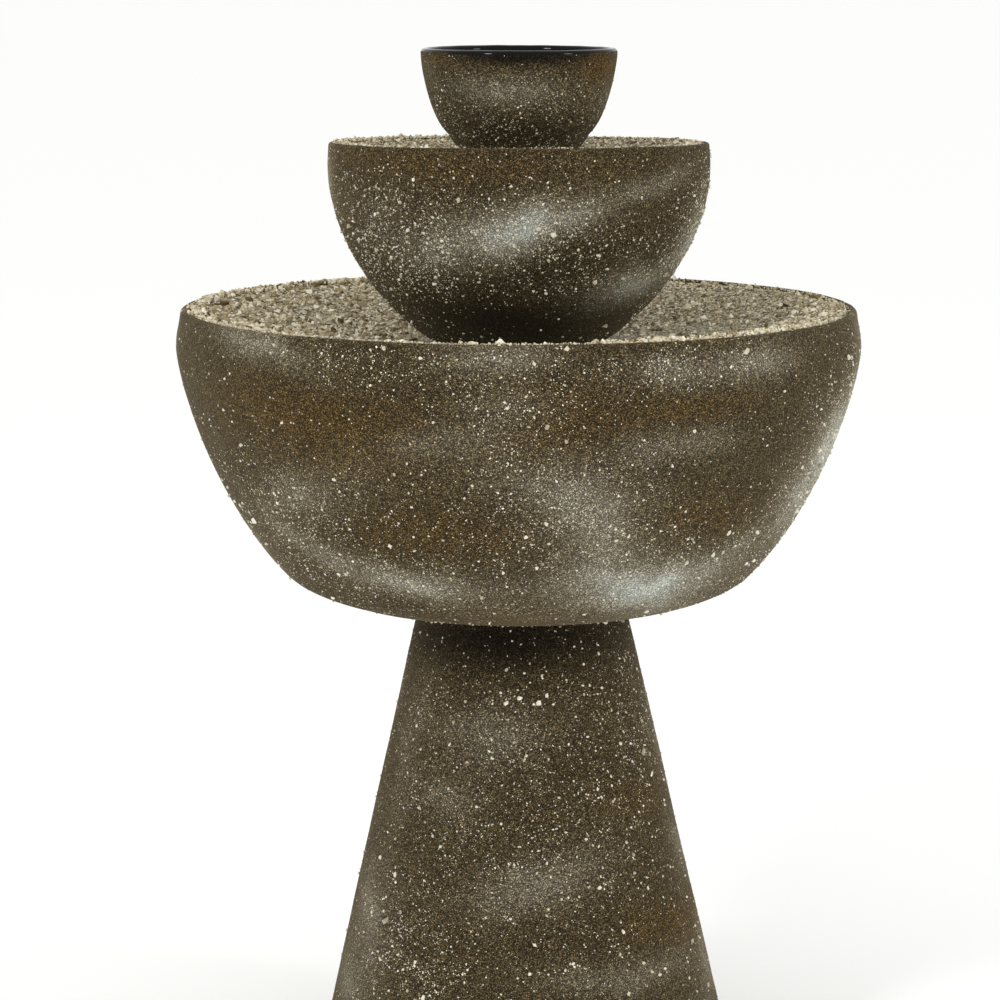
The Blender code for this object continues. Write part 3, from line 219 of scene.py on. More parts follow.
MIDDLE_COAT = Coat(
    mist=(
        Patch(1, 393, 24, 8, 8, 0.8),
        Patch(-16, 385, 26, 9, 12, 0.45),
        Patch(20, 398, 18, 4, 8, 0.25),
        Patch(43, 410, 22, 4, 10, 0.35),
        Patch(74, 382, 16, 14, -60, 0.75),
        Patch(47, 365, 20, 8, 10, 0.8),
        Patch(-49, 391, 18, 12, 0, 0.18),
        # This one lies at the left side: its pale is partly painted light, the brighter edge that
        # side light gives, and partly mist.
        Patch(-78, 409, 10, 14, 0, 0.5),
        Patch(-26, 377, 27, 8, 0, 0.1),
    ),
    ochre=(
        Patch(-36, 417, 45, 6, 0, 0.3),
        Patch(10, 415, 40, 5, 0, 0.15),
        Patch(-78, 409, 12, 14, 0, 0.9),
    ),
    # Painted shade, near black, on the bowl's underside by its foot.
    shade=(Patch(-4, 350, 52, 11, 0, 0.95), Patch(0, 371, 40, 5, 15, 0.4)),
    crumbs=(
        Patch(-45, 378, 30, 22, 0, 1.0),
        Patch(-5, 385, 35, 14, 10, 0.8),
        Patch(75, 385, 25, 20, 0, 0.9),
        Patch(20, 375, 25, 14, 0, 0.4),
    ),
)
TOP_COAT = Coat(
    mist=(
        Patch(-15, 446, 21, 6, 0, 0.38),
        Patch(27, 443, 18, 8, 0, 0.12),
        # These two lie at the bowl's sides: their pale is partly painted light, the brighter edge
        # that side light gives, and partly mist.
        Patch(-67, 452, 8, 8, 0, 0.15),
        Patch(73, 442, 9, 8, 0, 0.2),
    ),
    ochre=(Patch(62, 456, 14, 8, 0, 0.8), Patch(-62, 458, 10, 6, 0, 0.5)),
    shade=(
        # Painted shade on the bowl's underside.
        Patch(1, 428, 32, 6, 0, 0.5),
        # Darker on the left side.
        Patch(-50, 449, 18, 9, 0, 0.3),
        # These two: near black where the glaze has run over the lip and thinned.
        Patch(-2, 460.5, 30, 2.8, 0, 0.95),
        Patch(0, 462.4, 46, 1.6, 0, 0.8),
    ),
    crumbs=(
        Patch(-10, 429, 44, 9, 0, 1.0),
        Patch(-50, 440, 16, 10, 0, 0.3),
        Patch(20, 440, 20, 8, 0, 0.3),
    ),
)
PEDESTAL_COAT = Coat(
    mist=(
        Patch(-13, 171, 20, 10, 0, 0.3),
        Patch(-30, 142, 14, 10, 0, 0.25),
        Patch(7, 109, 28, 10, 15, 0.35),
        # This and the next two lie toward the left side: their pale is partly painted light, the
        # brighter edge that side light gives, and partly mist.
        Patch(-57, 159, 9, 32, 0, 0.2),
        Patch(-64, 87, 18, 20, 0, 0.35),
        Patch(-68, 54, 16, 12, 0, 0.4),
        # The patches at 84° and 81° lie at the right side: their pale is partly painted light, the
        # brighter edge that side light gives, and partly mist.
        Patch(84, 165, 14, 16, 0, 0.3),
        Patch(84, 109, 14, 16, 0, 0.35),
        Patch(37, 67, 30, 6, 0, 0.35),
        Patch(81, 58, 18, 16, 0, 0.4),
    ),
    ochre=(
        Patch(56, 138, 18, 8, 0, 0.5),
        Patch(84, 81, 29, 12, 0, 0.6),
        Patch(55, 85, 21, 8, 0, 0.5),
    ),
    # Painted shade on the cone's top, just under the lower bowl.
    shade=(Patch(-10, 211, 60, 12, 0, 0.9),),
    crumbs=(
        Patch(-40, 75, 20, 16, 0, 1.0),
        Patch(0, 140, 60, 60, 0, 0.3),
        Patch(60, 170, 20, 30, 0, 0.4),
    ),
)


# ---- Colours and materials ---------------------------------------------------------------
def srgb(code):
    """A linear colour from an sRGB hex code."""
    channels = [int(code[i : i + 2], 16) / 255 for i in (1, 3, 5)]
    linear = [c / 12.92 if c <= 0.04045 else ((c + 0.055) / 1.055) ** 2.4 for c in channels]
    return (*linear, 1)


def add_node(tree, kind, settings=None, inputs=None):
    """One shader node. An input is a value, or another node's output socket to link from."""
    node = tree.nodes.new("ShaderNode" + kind)
    for name, value in (settings or {}).items():
        setattr(node, name, value)
    for name, value in (inputs or {}).items():
        if isinstance(value, bpy.types.NodeSocket):
            tree.links.new(value, node.inputs[name])
        else:
            node.inputs[name].default_value = value
    return node


def new_material(name, **shader_values):
    """A material with its Principled shader's own sockets set."""
    material = bpy.data.materials.new(name)
    material.use_nodes = True
    shader = material.node_tree.nodes["Principled BSDF"]
    for name, value in shader_values.items():
        shader.inputs[name.replace("_", " ").title().replace("Ior", "IOR")].default_value = value
    return material, material.node_tree, shader


SAND_ACROSS = 0.36 * MM
COARSE_GRIT_ACROSS = 1.1 * MM
FINE_GRIT_ACROSS = 0.46 * MM


def sand_coat():
    """Sprayed sand on stoneware: dead matt, salt-and-pepper, with paler patches of misting.

    The sand is just under 0.4 mm across, so the eye sees single grains, some near black and a
    few nearly white. The body under it is olive umber. Where the gun passed again the coat has
    a smooth blue-grey misting, and iron from the body has stained it ochre below the rims. At
    the sides of the bowls and cone the same pale is also painted light, and under the bowls the
    coat is painted near black as shadow. Crumbs of cream grit, from dust to about 1 mm, are
    caught in it in clusters.
    """
    # A broken mineral surface mirrors almost nothing, so the dark grains stay dark.
    material, tree, shader = new_material(
        "sprayed_sand_coat", roughness=0.95, ior=1.5, specular_ior_level=0.1,
        # Loose dust on the grains catches light from the side, so the edges look paler.
        sheen_weight=0.1, sheen_roughness=0.5, sheen_tint=srgb("#d9c9a0"),
    )
    place = add_node(tree, "TexCoord").outputs["Object"]
    kinds = {
        kind: add_node(tree, "Attribute", {"attribute_name": kind}).outputs["Fac"]
        for kind in Coat._fields
    }

    # Drifting strength, 20 mm across, so that no patch has an even middle.
    drift = add_node(
        tree, "TexNoise", None, {"Vector": place, "Scale": 48, "Detail": 3, "Roughness": 0.55}
    ).outputs["Fac"]
    uneven = add_node(
        tree, "MapRange", None,
        {"Value": drift, "From Min": 0.3, "From Max": 0.7, "To Min": 0.75, "To Max": 1.2},
    ).outputs["Result"]
    stain = add_node(
        tree, "Math", {"operation": "MULTIPLY", "use_clamp": True}, {0: kinds["ochre"], 1: uneven}
    ).outputs[0]
    mist_and_edge_light_level = add_node(
        tree, "Math", {"operation": "MULTIPLY", "use_clamp": True}, {0: kinds["mist"], 1: uneven}
    ).outputs[0]
    body = add_node(
        tree, "Mix", {"data_type": "RGBA"}, {0: drift, 6: srgb("#3a3122"), 7: srgb("#4f4531")}
    ).outputs[2]
    coat = add_node(
        tree, "Mix", {"data_type": "RGBA"}, {0: stain, 6: body, 7: srgb("#4f3c1b")}
    ).outputs[2]
    mist_and_edge_light_colour = add_node(tree, "ValToRGB", None, {"Fac": mist_and_edge_light_level})
    mist_and_edge_light_colour.color_ramp.elements[0].color = srgb("#8a8370")
    mist_and_edge_light_colour.color_ramp.elements[-1].color = srgb("#b4bbb6")
    mist_and_edge_light_colour.color_ramp.elements.new(0.5).color = srgb("#9a9688")
    # The pale of the mist patches. Where they lie at the sides, this pale is partly painted light.
    coat = add_node(
        tree, "Mix", {"data_type": "RGBA"}, {0: mist_and_edge_light_level, 6: coat, 7: mist_and_edge_light_colour.outputs["Color"]}
    ).outputs[2]
    # Near black where shade is painted under each bowl, and where the top bowl's glaze has run over
    # its lip.
    coat = add_node(
        tree, "Mix", {"data_type": "RGBA"}, {0: kinds["shade"], 6: coat, 7: srgb("#15110b")}
    ).outputs[2]

    # The grains themselves: most are far darker than the coat, and a tenth far paler.
    sand = add_node(tree, "TexVoronoi", None, {"Vector": place, "Scale": 1 / SAND_ACROSS})
    pick = add_node(tree, "SeparateColor", None, {"Color": sand.outputs["Color"]}).outputs["Red"]
    grain = add_node(tree, "ValToRGB", None, {"Fac": pick})
    stops = grain.color_ramp.elements
    for position, level in ((0.36, 0.05), (0.7, 0.19), (0.9, 0.5)):
        stops.new(position).color = (level, level, level * 0.96, 1)
    stops[0].color = (0.008, 0.008, 0.008, 1)
    stops[-1].color = (1, 0.98, 0.9, 1)
    speckled = add_node(
        tree, "Mix", {"data_type": "RGBA", "blend_type": "MULTIPLY"},
        {0: 1.0, 6: coat, 7: grain.outputs["Color"]},
    ).outputs[2]
    # This brings the speckled coat back to about its own brightness, a little warmer.
    speckled = add_node(
        tree, "VectorMath", {"operation": "MULTIPLY"}, {0: speckled, 1: (4.45, 4.35, 4.2)}
    ).outputs[0]
    # Mist fills the gaps between the grains, so the speckle is calmer where it is thick.
    calm = add_node(
        tree, "MapRange", None, {"Value": mist_and_edge_light_level, "To Min": 0.12, "To Max": 0.55}
    ).outputs["Result"]
    coat = add_node(
        tree, "Mix", {"data_type": "RGBA"}, {0: calm, 6: speckled, 7: coat}
    ).outputs[2]

    # Caught crumbs, in clusters 10 mm across. Warping the place gives them broken outlines.
    ragged = add_node(
        tree, "TexNoise", None, {"Vector": place, "Scale": 1100, "Detail": 1}
    ).outputs["Color"]
    warped = add_node(
        tree, "VectorMath", {"operation": "MULTIPLY_ADD"},
        {0: ragged, 1: (0.7 * MM,) * 3, 2: place},
    ).outputs[0]
    cluster = add_node(
        tree, "TexNoise", None, {"Vector": place, "Scale": 95, "Detail": 2}
    ).outputs["Fac"]
    gather = add_node(
        tree, "MapRange", {"interpolation_type": "SMOOTHSTEP"},
        {"Value": cluster, "From Min": 0.38, "From Max": 0.66, "To Min": 0.25, "To Max": 1.3},
    ).outputs["Result"]
    # Fewer crumbs are drawn where shade is painted under a bowl, so the painted shade stays dark.
    fewer_in_painted_shade = add_node(
        tree, "Math", {"operation": "MULTIPLY"}, {0: kinds["shade"], 1: -0.9}
    ).outputs[0]
    # How far apart they can lie, the share of places that hold one where there are fewest and
    # most, and the least and greatest reach of one, as shares of that distance.
    for apart, fewest, most, small, large in (
        (0.75 * MM, 0.03, 0.62, 0.2, 0.42),
        (2.2 * MM, 0.02, 0.5, 0.09, 0.27),
    ):
        crumb = add_node(tree, "TexVoronoi", None, {"Vector": warped, "Scale": 1 / apart})
        draw = add_node(tree, "SeparateColor", None, {"Color": crumb.outputs["Color"]})
        cubed = add_node(
            tree, "Math", {"operation": "POWER"}, {0: draw.outputs["Red"], 1: 2.5}
        ).outputs[0]
        reach = add_node(
            tree, "MapRange", None, {"Value": cubed, "To Min": small, "To Max": large}
        ).outputs["Result"]
        near = add_node(
            tree, "Math", {"operation": "LESS_THAN"}, {0: crumb.outputs["Distance"], 1: reach}
        ).outputs[0]
        share = add_node(
            tree, "MapRange", None,
            {"Value": kinds["crumbs"], "To Min": fewest, "To Max": most},
        ).outputs["Result"]
        share = add_node(
            tree, "Math", {"operation": "MULTIPLY"}, {0: share, 1: gather}
        ).outputs[0]
        share = add_node(
            tree, "Math", {"operation": "MULTIPLY_ADD"}, {0: share, 1: fewer_in_painted_shade, 2: share}
        ).outputs[0]
        chosen = add_node(
            tree, "Math", {"operation": "LESS_THAN"}, {0: draw.outputs["Blue"], 1: share}
        ).outputs[0]
        cream = add_node(
            tree, "Mix", {"data_type": "RGBA"},
            {0: draw.outputs["Green"], 6: srgb("#c9c1aa"), 7: srgb("#f4eedd")},
        ).outputs[2]
        shown = add_node(
            tree, "Math", {"operation": "MULTIPLY"}, {0: near, 1: chosen}
        ).outputs[0]
        coat = add_node(
            tree, "Mix", {"data_type": "RGBA"}, {0: shown, 6: coat, 7: cream}
        ).outputs[2]
    tree.links.new(coat, shader.inputs["Base Color"])
    bump = add_node(
        tree, "Bump", None,
        {"Strength": 0.5, "Distance": 0.2 * MM, "Height": sand.outputs["Distance"]},
    )
    tree.links.new(bump.outputs["Normal"], shader.inputs["Normal"])
    return material


def bonded_grit():
    """Crushed mineral grit in a clear binder: beige to brown grains, with painted shadow in the
    gaps between them.

    Where it is worn and wet the most, round the bowl above, it is finer and greenish grey.
    """
    material, tree, shader = new_material(
        "bonded_grit", roughness=0.95, ior=1.5, specular_ior_level=0.15
    )
    place = add_node(tree, "TexCoord").outputs["Object"]
    worn = add_node(tree, "Attribute", {"attribute_name": "worn"}).outputs["Fac"]
    coarse = add_node(tree, "TexVoronoi", None, {"Vector": place, "Scale": 1 / COARSE_GRIT_ACROSS})
    tone = add_node(tree, "SeparateColor", None, {"Color": coarse.outputs["Color"]}).outputs["Red"]
    beige = add_node(tree, "ValToRGB", None, {"Fac": tone})
    stops = beige.color_ramp.elements
    stops[0].color = srgb("#54462e")
    stops[-1].color = srgb("#e4dcc6")
    stops.new(0.4).color = srgb("#a09271")
    stops.new(0.75).color = srgb("#cbbfa1")
    # Painted shadow: the gaps between the grains are darkened.
    painted_gap_shadow = add_node(
        tree, "MapRange", {"interpolation_type": "SMOOTHSTEP"},
        {
            "Value": coarse.outputs["Distance"],
            "From Min": 0.35, "From Max": 0.7, "To Min": 1.0, "To Max": 0.35,
        },
    ).outputs["Result"]
    grit = add_node(
        tree, "Mix", {"data_type": "RGBA", "blend_type": "MULTIPLY"},
        {0: 1.0, 6: beige.outputs["Color"], 7: painted_gap_shadow},
    ).outputs[2]
    fine = add_node(tree, "TexVoronoi", None, {"Vector": place, "Scale": 1 / FINE_GRIT_ACROSS})
    small = add_node(tree, "SeparateColor", None, {"Color": fine.outputs["Color"]}).outputs["Green"]
    green = add_node(tree, "ValToRGB", None, {"Fac": small})
    stops = green.color_ramp.elements
    stops[0].color = srgb("#4d4939")
    stops[-1].color = srgb("#e8e8d8")
    stops.new(0.45).color = srgb("#9b9b86")
    stops.new(0.8).color = srgb("#c8c9b5")
    mixed = add_node(
        tree, "Mix", {"data_type": "RGBA"},
        {0: worn, 6: grit, 7: green.outputs["Color"]},
    ).outputs[2]
    tree.links.new(mixed, shader.inputs["Base Color"])
    bump = add_node(
        tree, "Bump", None,
        {"Strength": 0.7, "Distance": 0.5 * MM, "Height": coarse.outputs["Distance"]},
    )
    bump.invert = True
    tree.links.new(bump.outputs["Normal"], shader.inputs["Normal"])
    return material


def loose_chips(name, codes):
    """Crushed stone chips: dull, and each one colour all over, so the eye tells them apart."""
    material, tree, shader = new_material(
        name, roughness=0.9, ior=1.5, specular_ior_level=0.2
    )
    tone = add_node(tree, "Attribute", {"attribute_name": "tone"}).outputs["Fac"]
    ramp = add_node(tree, "ValToRGB", None, {"Fac": tone})
    stops = ramp.color_ramp.elements
    while len(stops) < len(codes):
        stops.new(0.5)
    for index, code in enumerate(codes):
        stops[index].position = index / (len(codes) - 1)
        stops[index].color = srgb(code)
    tree.links.new(ramp.outputs["Color"], shader.inputs["Base Color"])
    return material


def black_glaze():
    """Fired black glaze: near black, with small sharp highlights, so the lip looks wet."""
    return new_material(
        "black_glaze", roughness=0.07, ior=1.52, specular_ior_level=0.14, base_color=srgb("#020302")
    )[0]


def plain_finishes():
    """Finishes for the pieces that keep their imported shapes, by record material slot."""
    return {
        # Moulded nitrile: dull and slightly grey, so the eye reads soft rubber.
        "rubber": new_material(
            "moulded_nitrile", base_color=srgb("#1a1a1a"), roughness=0.7, ior=1.52
        )[0],
        # Spark-textured ABS: a broad, weak highlight.
        "black_plastic": new_material(
            "textured_abs", base_color=srgb("#1d1d1f"), roughness=0.42, ior=1.53
        )[0],
        # Moulded acetal: slightly waxy white.
        "white_plastic": new_material(
            "moulded_acetal", base_color=srgb("#d9d8d2"), roughness=0.38, ior=1.48
        )[0],
        # Ground alumina: smooth, very even and bright.
        "white_ceramic": new_material(
            "ground_alumina", base_color=srgb("#e8e4da"), roughness=0.2, ior=1.76
        )[0],
        # Epoxy-coated ferrite: dark grey under a soft gloss.
        "magnet": new_material(
            "coated_ferrite", base_color=srgb("#33343a"), roughness=0.45, ior=1.55
        )[0],
        # Tumbled stainless steel: bright with a blurred reflection.
        "steel": new_material(
            "tumbled_stainless", base_color=srgb("#b9babc"), metallic=1.0, roughness=0.32
        )[0],
        # Turned brass, dulled by water: warm, with little sparkle left.
        "brass": new_material(
            "dulled_brass", base_color=srgb("#b08d4e"), metallic=1.0, roughness=0.35
        )[0],
        # Clear soft vinyl: faintly milky, so its edge still shows.
        "clear_tube": new_material(
            "clear_vinyl",
            base_color=srgb("#dfe6e2"),
            roughness=0.12,
            ior=1.53,
            transmission_weight=0.75,
        )[0],
    }


# ---- Outlines ----------------------------------------------------------------------------
def bowl_outline(bowl, steps):
    """The bowl's outside from the foot's edge to the rim, standing on height 0."""
    foot = Vector((bowl.foot_radius, 0))
    belly = Vector((bowl.rim_radius + bowl.bulge, bowl.height - bowl.belly_drop))
    knee = Vector((belly.x - bowl.knee_inset, bowl.knee_height))
    rim = Vector((bowl.rim_radius, bowl.height))
    rise = Vector((math.cos(bowl.knee_slope), math.sin(bowl.knee_slope)))
    low_span = (knee - foot).length
    high_span = (belly - knee).length
    from_foot, to_knee, from_knee, to_belly = bowl.fullness
    out, up = Vector((1, 0)), Vector((0, 1))
    under = interpolate_bezier(
        foot, foot + out * from_foot * low_span, knee - rise * to_knee * low_span, knee, steps
    )
    side = interpolate_bezier(
        knee,
        knee + rise * from_knee * high_span,
        belly - up * to_belly * high_span,
        belly,
        steps,
    )
    turn_in = interpolate_bezier(
        belly, belly + up * bowl.belly_drop * 0.4, rim - up * bowl.belly_drop * 0.4, rim, 8
    )
    return [*under, *side[1:], *turn_in[1:]]


def inset(points, distance):
    """An open outline moved sideways, to its own left."""
    moved = []
    for index, here in enumerate(points):
        before = points[max(index - 1, 0)]
        after = points[min(index + 1, len(points) - 1)]
        along = (after - before).normalized()
        moved.append(here + Vector((-along.y, along.x)) * distance)
    return moved


def radius_at(points, height):
    """How far out a rising outline is at a height."""
    for low, high in zip(points, points[1:]):
        if low.y <= height <= high.y and high.y > low.y:
            return low.x + (high.x - low.x) * (height - low.y) / (high.y - low.y)
    return points[-1].x if height > points[-1].y else points[0].x


def stretch(points, low, high):
    """The part of a rising outline between two heights, with a point on each."""
    inner = [p for p in points if low + 0.1 * MM < p.y < high - 0.1 * MM]
    ends = [Vector((radius_at(points, height), height)) for height in (low, high)]
    return [ends[0], *inner, ends[1]]


def rebate_of(bowl, deck):
    """(height of the ledge, radius of the rebate above it)."""
    height = bowl.height - deck.edge_drop - deck.thickness - GAP
    return height, radius_at(inset(bowl_outline(bowl, 40), bowl.wall), height) + LEDGE_WIDTH


def bowl_section(bowl, deck, hole):
    """The closed section of a bowl's wall, with a ledge inside its rim if it has a deck."""
    outside = bowl_outline(bowl, 34)
    inside = inset(bowl_outline(bowl, 14), bowl.wall)
    if deck:
        ledge, rebate = rebate_of(bowl, deck)
        steps = [Vector((rebate, ledge)), *reversed(stretch(inside, bowl.floor, ledge))]
    else:
        inside = inset(outside, bowl.wall)
        rebate = radius_at(inside, bowl.height)
        steps = list(reversed(stretch(inside, bowl.floor, bowl.height - bowl.wall)))
    lip = (bowl.rim_radius - rebate) / 2
    arc = [math.pi * step / 10 for step in range(11)]
    centre = Vector((bowl.rim_radius - lip, bowl.height - lip))
    round_lip = [centre + lip * Vector((math.cos(a), math.sin(a))) for a in arc]
    wall = stretch(outside, 0, bowl.height - lip)[:-1]
    return [Vector((hole, 0)), *wall, *round_lip, *steps, Vector((hole, bowl.floor))]


def deck_section(bowl, deck, steps):
    """The deck's section, from its bowl's rim down, with its grit face finely divided."""
    rebate = rebate_of(bowl, deck)[1]
    edge = Vector((rebate - DECK_PLAY, -deck.edge_drop))
    shoulder = Vector((rebate - LEDGE_WIDTH - 3 * MM, -deck.edge_drop))
    flat = Vector((deck.flat_radius, -deck.depth))
    span = shoulder.x - flat.x
    fall = math.atan2(shoulder.y - flat.y, span)
    slope = Vector((math.cos(fall * 1.4), math.sin(fall * 1.4)))
    handles = (flat + Vector((deck.dish[0] * span, 0)), shoulder - slope * deck.dish[1] * span)
    dished, coarse = (
        interpolate_bezier(flat, *handles, shoulder, count) for count in (steps, 8)
    )
    under = [p + Vector((0, -deck.thickness)) for p in (*coarse, edge)]
    inner = deck.seat_radius or deck.hole
    level = [Vector((flat.x + (inner - flat.x) * k / 24, -deck.depth)) for k in range(1, 25)]
    edge_in = [edge.lerp(shoulder, k / 4) for k in range(4)]
    over = [*edge_in, *reversed(dished), *level]
    if not deck.seat_radius:
        return [Vector((deck.hole, -deck.depth - deck.thickness)), *under, *over]
    low = -deck.depth - deck.seat_depth
    seat = [Vector((deck.seat_radius, low)), Vector((deck.hole, low))]
    return [Vector((deck.hole, -deck.depth - deck.thickness)), *under, *over, *seat]


# ---- Turning and finishing shells --------------------------------------------------------
def spun(outline, sides, base):
    """A closed bmesh of the outline spun round the axis, standing at height base."""
    made = bmesh.new()
    points = [made.verts.new((p[0], 0, p[1] + base)) for p in outline]
    pairs = list(zip(points, points[1:] + points[:1]))
    if outline[0][0] == 0 and outline[-1][0] == 0:
        pairs.pop()
    edges = [made.edges.new(pair) for pair in pairs]
    bmesh.ops.spin(
        made,
        geom=points + edges,
        cent=(0, 0, 0),
        axis=(0, 0, 1),
        angle=math.tau,
        steps=sides,
        use_merge=True,
    )
    bmesh.ops.remove_doubles(made, verts=made.verts, dist=0.001 * MM)
    bmesh.ops.recalc_face_normals(made, faces=made.faces)
    return made


def keep(name, made, materials, smooth_angle=40):
    """Makes a bmesh an object of the scene. An angle of 0 leaves its faces flat."""
    mesh = bpy.data.meshes.new(name)
    made.to_mesh(mesh)
    made.free()
    for material in materials:
        mesh.materials.append(material)
    if smooth_angle:
        mesh.shade_smooth()
        mesh.set_sharp_from_angle(angle=math.radians(smooth_angle))
    piece = bpy.data.objects.new(name, mesh)
    bpy.context.scene.collection.objects.link(piece)
    return piece


def drill(piece, places, radius, low, high):
    """Cuts upright holes through a shell, for the screws, gland and pads."""
    made = bmesh.new()
    for x, y in places:
        bmesh.ops.create_cone(
            made,
            cap_ends=True,
            segments=32,
            radius1=radius,
            radius2=radius,
            depth=high - low,
            matrix=Matrix.Translation((x, y, (low + high) / 2)),
        )
    cut_with(piece, made)


def cut_with(piece, made):
    """Cuts a closed bmesh out of a piece, for good."""
    cutter = keep("cutter", made, [])
    change = piece.modifiers.new("cut", "BOOLEAN")
    change.solver = "EXACT"
    change.object = cutter
    graph = bpy.context.evaluated_depsgraph_get()
    finished = bpy.data.meshes.new_from_object(piece.evaluated_get(graph))
    piece.modifiers.clear()
    old = piece.data
    piece.data = finished
    finished.name = old.name
    bpy.data.meshes.remove(old)
    bpy.data.objects.remove(cutter)


def lean_of(bowl, base):
    """How the rim of a hand-thrown bowl tips from level, growing from foot to rim."""

    def moved(point):
        share = min(max((point.z - base) / bowl.height, 0), 1)
        smooth = share * share * (3 - 2 * share)
        return Vector((0, 0, point.y * math.tan(bowl.lean) * smooth))

    return moved


def hand_thrown(point, seed, amount):
    """The slight unevenness of a thrown and sanded surface."""
    slow = noise.noise(point * 22 + Vector((seed, 0, 0)))
    quick = noise.noise(point * 140 + Vector((0, seed, 0)))
    return amount * (0.75 * slow + 0.25 * quick)


def patch_levels(patches, points, seed):
    """How strongly a list of patches covers each of some points, from 0 to 1."""
    if not patches:
        return np.zeros(len(points))
    wander = np.array([noise.noise_vector(p * 26 + Vector((seed, seed, 0))) for p in points]) * 7
    wander += np.array([noise.noise_vector(p * 90 + Vector((0, seed, seed))) for p in points]) * 2
    spots = np.array(points) / MM
    radius = np.hypot(spots[:, 0], spots[:, 1])
    azimuth = np.arctan2(spots[:, 0], -spots[:, 1])
    bare = np.ones(len(points))
    for patch in patches:
        turn = (azimuth - math.radians(patch.azimuth) + math.pi) % math.tau - math.pi
        across = turn * radius + wander[:, 0]
        up = spots[:, 2] - patch.height + wander[:, 2] * 0.6
        tilt = math.radians(patch.tilt)
        along = across * math.cos(tilt) + up * math.sin(tilt)
        over = up * math.cos(tilt) - across * math.sin(tilt)
        reach = (along / patch.half_width) ** 2 + (over / patch.half_height) ** 2
        bare *= 1 - min(patch.strength, 1) * np.exp(-reach * 0.8)
    return 1 - bare


def sprayed_behind(coat, low, high, radius, seed):
    """The same kind of patches for the back, which come from a seeded draw."""
    draw = random.Random(seed)
    count = round((high - low) * radius / 900)
    behind = {}
    for kind, strength in (("mist", 0.6), ("ochre", 0.6), ("crumbs", 0.8)):
        behind[kind] = tuple(
            Patch(
                draw.uniform(100, 260),
                draw.uniform(low, high),
                draw.uniform(0.14, 0.32) * radius,
                draw.uniform(6, 12),
                draw.uniform(-15, 20),
                draw.uniform(0.3, 1) * strength,
            )
            for _ in range(count)
        )
    return coat._replace(**{kind: getattr(coat, kind) + more for kind, more in behind.items()})


def paint(piece, coat, seed):
    """Stores how much misting (with painted edge light), ochre, painted shadow and other darkening,
    and crumbs each point of the coat carries.
    """
    mesh = piece.data
    points = [vertex.co.copy() for vertex in mesh.vertices]
    for kind in Coat._fields:
        levels = patch_levels(getattr(coat, kind), points, seed)
        mesh.attributes.new(kind, "FLOAT", "POINT").data.foreach_set("value", levels)


# ---- Chips -------------------------------------------------------------------------------
# A kind of chip has the least and greatest height for its width, and the share that is sunk.
Kind = namedtuple("Kind", "thick sunk")
FLAT = Kind((0.5, 1.1), 0.35)  # flakes of the sand coat
CHUNKY = Kind((1.2, 1.9), 0.35)  # crushed grit along a lip
STANDING = Kind((1.6, 2.6), 0.4)  # crushed grit on a deck, packed on end
HANDFUL = 60  # chips that are made at a time


def add_chip(made, layer, place, outward, size, draw, kind):
    """One crushed chip, part sunk in the surface: a skewed prism of 4 or 5 sides."""
    turn = outward.to_track_quat("Z", "Y").to_matrix().to_4x4()
    tumble = (
        Matrix.Rotation(draw.uniform(0, math.tau), 4, "Z")
        @ Matrix.Rotation(draw.gauss(0, 0.5), 4, "X")
        @ Matrix.Rotation(draw.gauss(0, 0.4), 4, "Y")
    )
    stretch_by = Matrix.Diagonal((draw.uniform(0.8, 1.4), draw.uniform(0.6, 1.0), 1, 1))
    high = draw.uniform(*kind.thick)
    matrix = (
        Matrix.Translation(place + outward * size * high * (0.5 - kind.sunk))
        @ turn
        @ tumble
        @ stretch_by
    )
    chip = bmesh.ops.create_cone(
        made,
        cap_ends=True,
        segments=draw.choice((4, 5, 5)),
        radius1=size * draw.uniform(0.7, 1),
        radius2=size * draw.uniform(0.35, 0.8),
        depth=size * high,
        matrix=matrix,
    )
    tone = draw.random()
    for vertex in chip["verts"]:
        vertex.co += Vector((draw.gauss(0, 1), draw.gauss(0, 1), draw.gauss(0, 1))) * size * 0.09
        vertex[layer] = tone


def scatter(name, material, chips, draw, places, kind):
    """Chips at the places, which is an endless run of (place, outward).

    chips says how many, with their middle size, spread and largest size in mm. They are made
    a few at a time and then put together, because each operator's time grows with the mesh
    that it works on.
    """
    count, middle, spread, largest = chips
    together = bmesh.new()
    handful = bpy.data.meshes.new("handful")
    for start in range(0, count, HANDFUL):
        made = bmesh.new()
        layer = made.verts.layers.float.new("tone")
        for _ in range(min(HANDFUL, count - start)):
            size = min(draw.lognormvariate(math.log(middle), spread), largest) * MM
            add_chip(made, layer, *next(places), size, draw, kind)
        made.to_mesh(handful)
        made.free()
        together.from_mesh(handful)
    bpy.data.meshes.remove(handful)
    return keep(name, together, [material], 0)


def places_on(outline, base, moved, seed, amount, allow, draw):
    """An endless run of even random places on a turned surface, with the way out of it.

    allow gives the chance of keeping each of a list of places.
    """
    lengths = [
        (high - low).length * (low.x + high.x) / 2 for low, high in zip(outline, outline[1:])
    ]
    spans = list(zip(outline, outline[1:]))
    while True:
        batch = []
        for low, high in draw.choices(spans, weights=lengths, k=500):
            spot = low.lerp(high, draw.random())
            along = (high - low).normalized()
            angle = draw.uniform(0, math.tau)
            round_x, round_y = math.sin(angle), -math.cos(angle)
            place = Vector((spot.x * round_x, spot.x * round_y, spot.y + base))
            batch.append((place, Vector((along.y * round_x, along.y * round_y, -along.x))))
        for (place, outward), chance in zip(batch, allow([place for place, _ in batch])):
            if draw.random() < chance:
                yield place + outward * hand_thrown(place, seed, amount) + moved(place), outward


# ---- The camera, light and floor ---------------------------------------------------------
CAMERA_PLACE = (-0.0082, -1.447, 0.5046)
CAMERA_DOWN = 9.4  # degrees below level
LENS = 119.1  # millimetres, on a sensor 36 mm wide
FLOOR_RADIUS = 60  # so wide that its edge is lost in the white


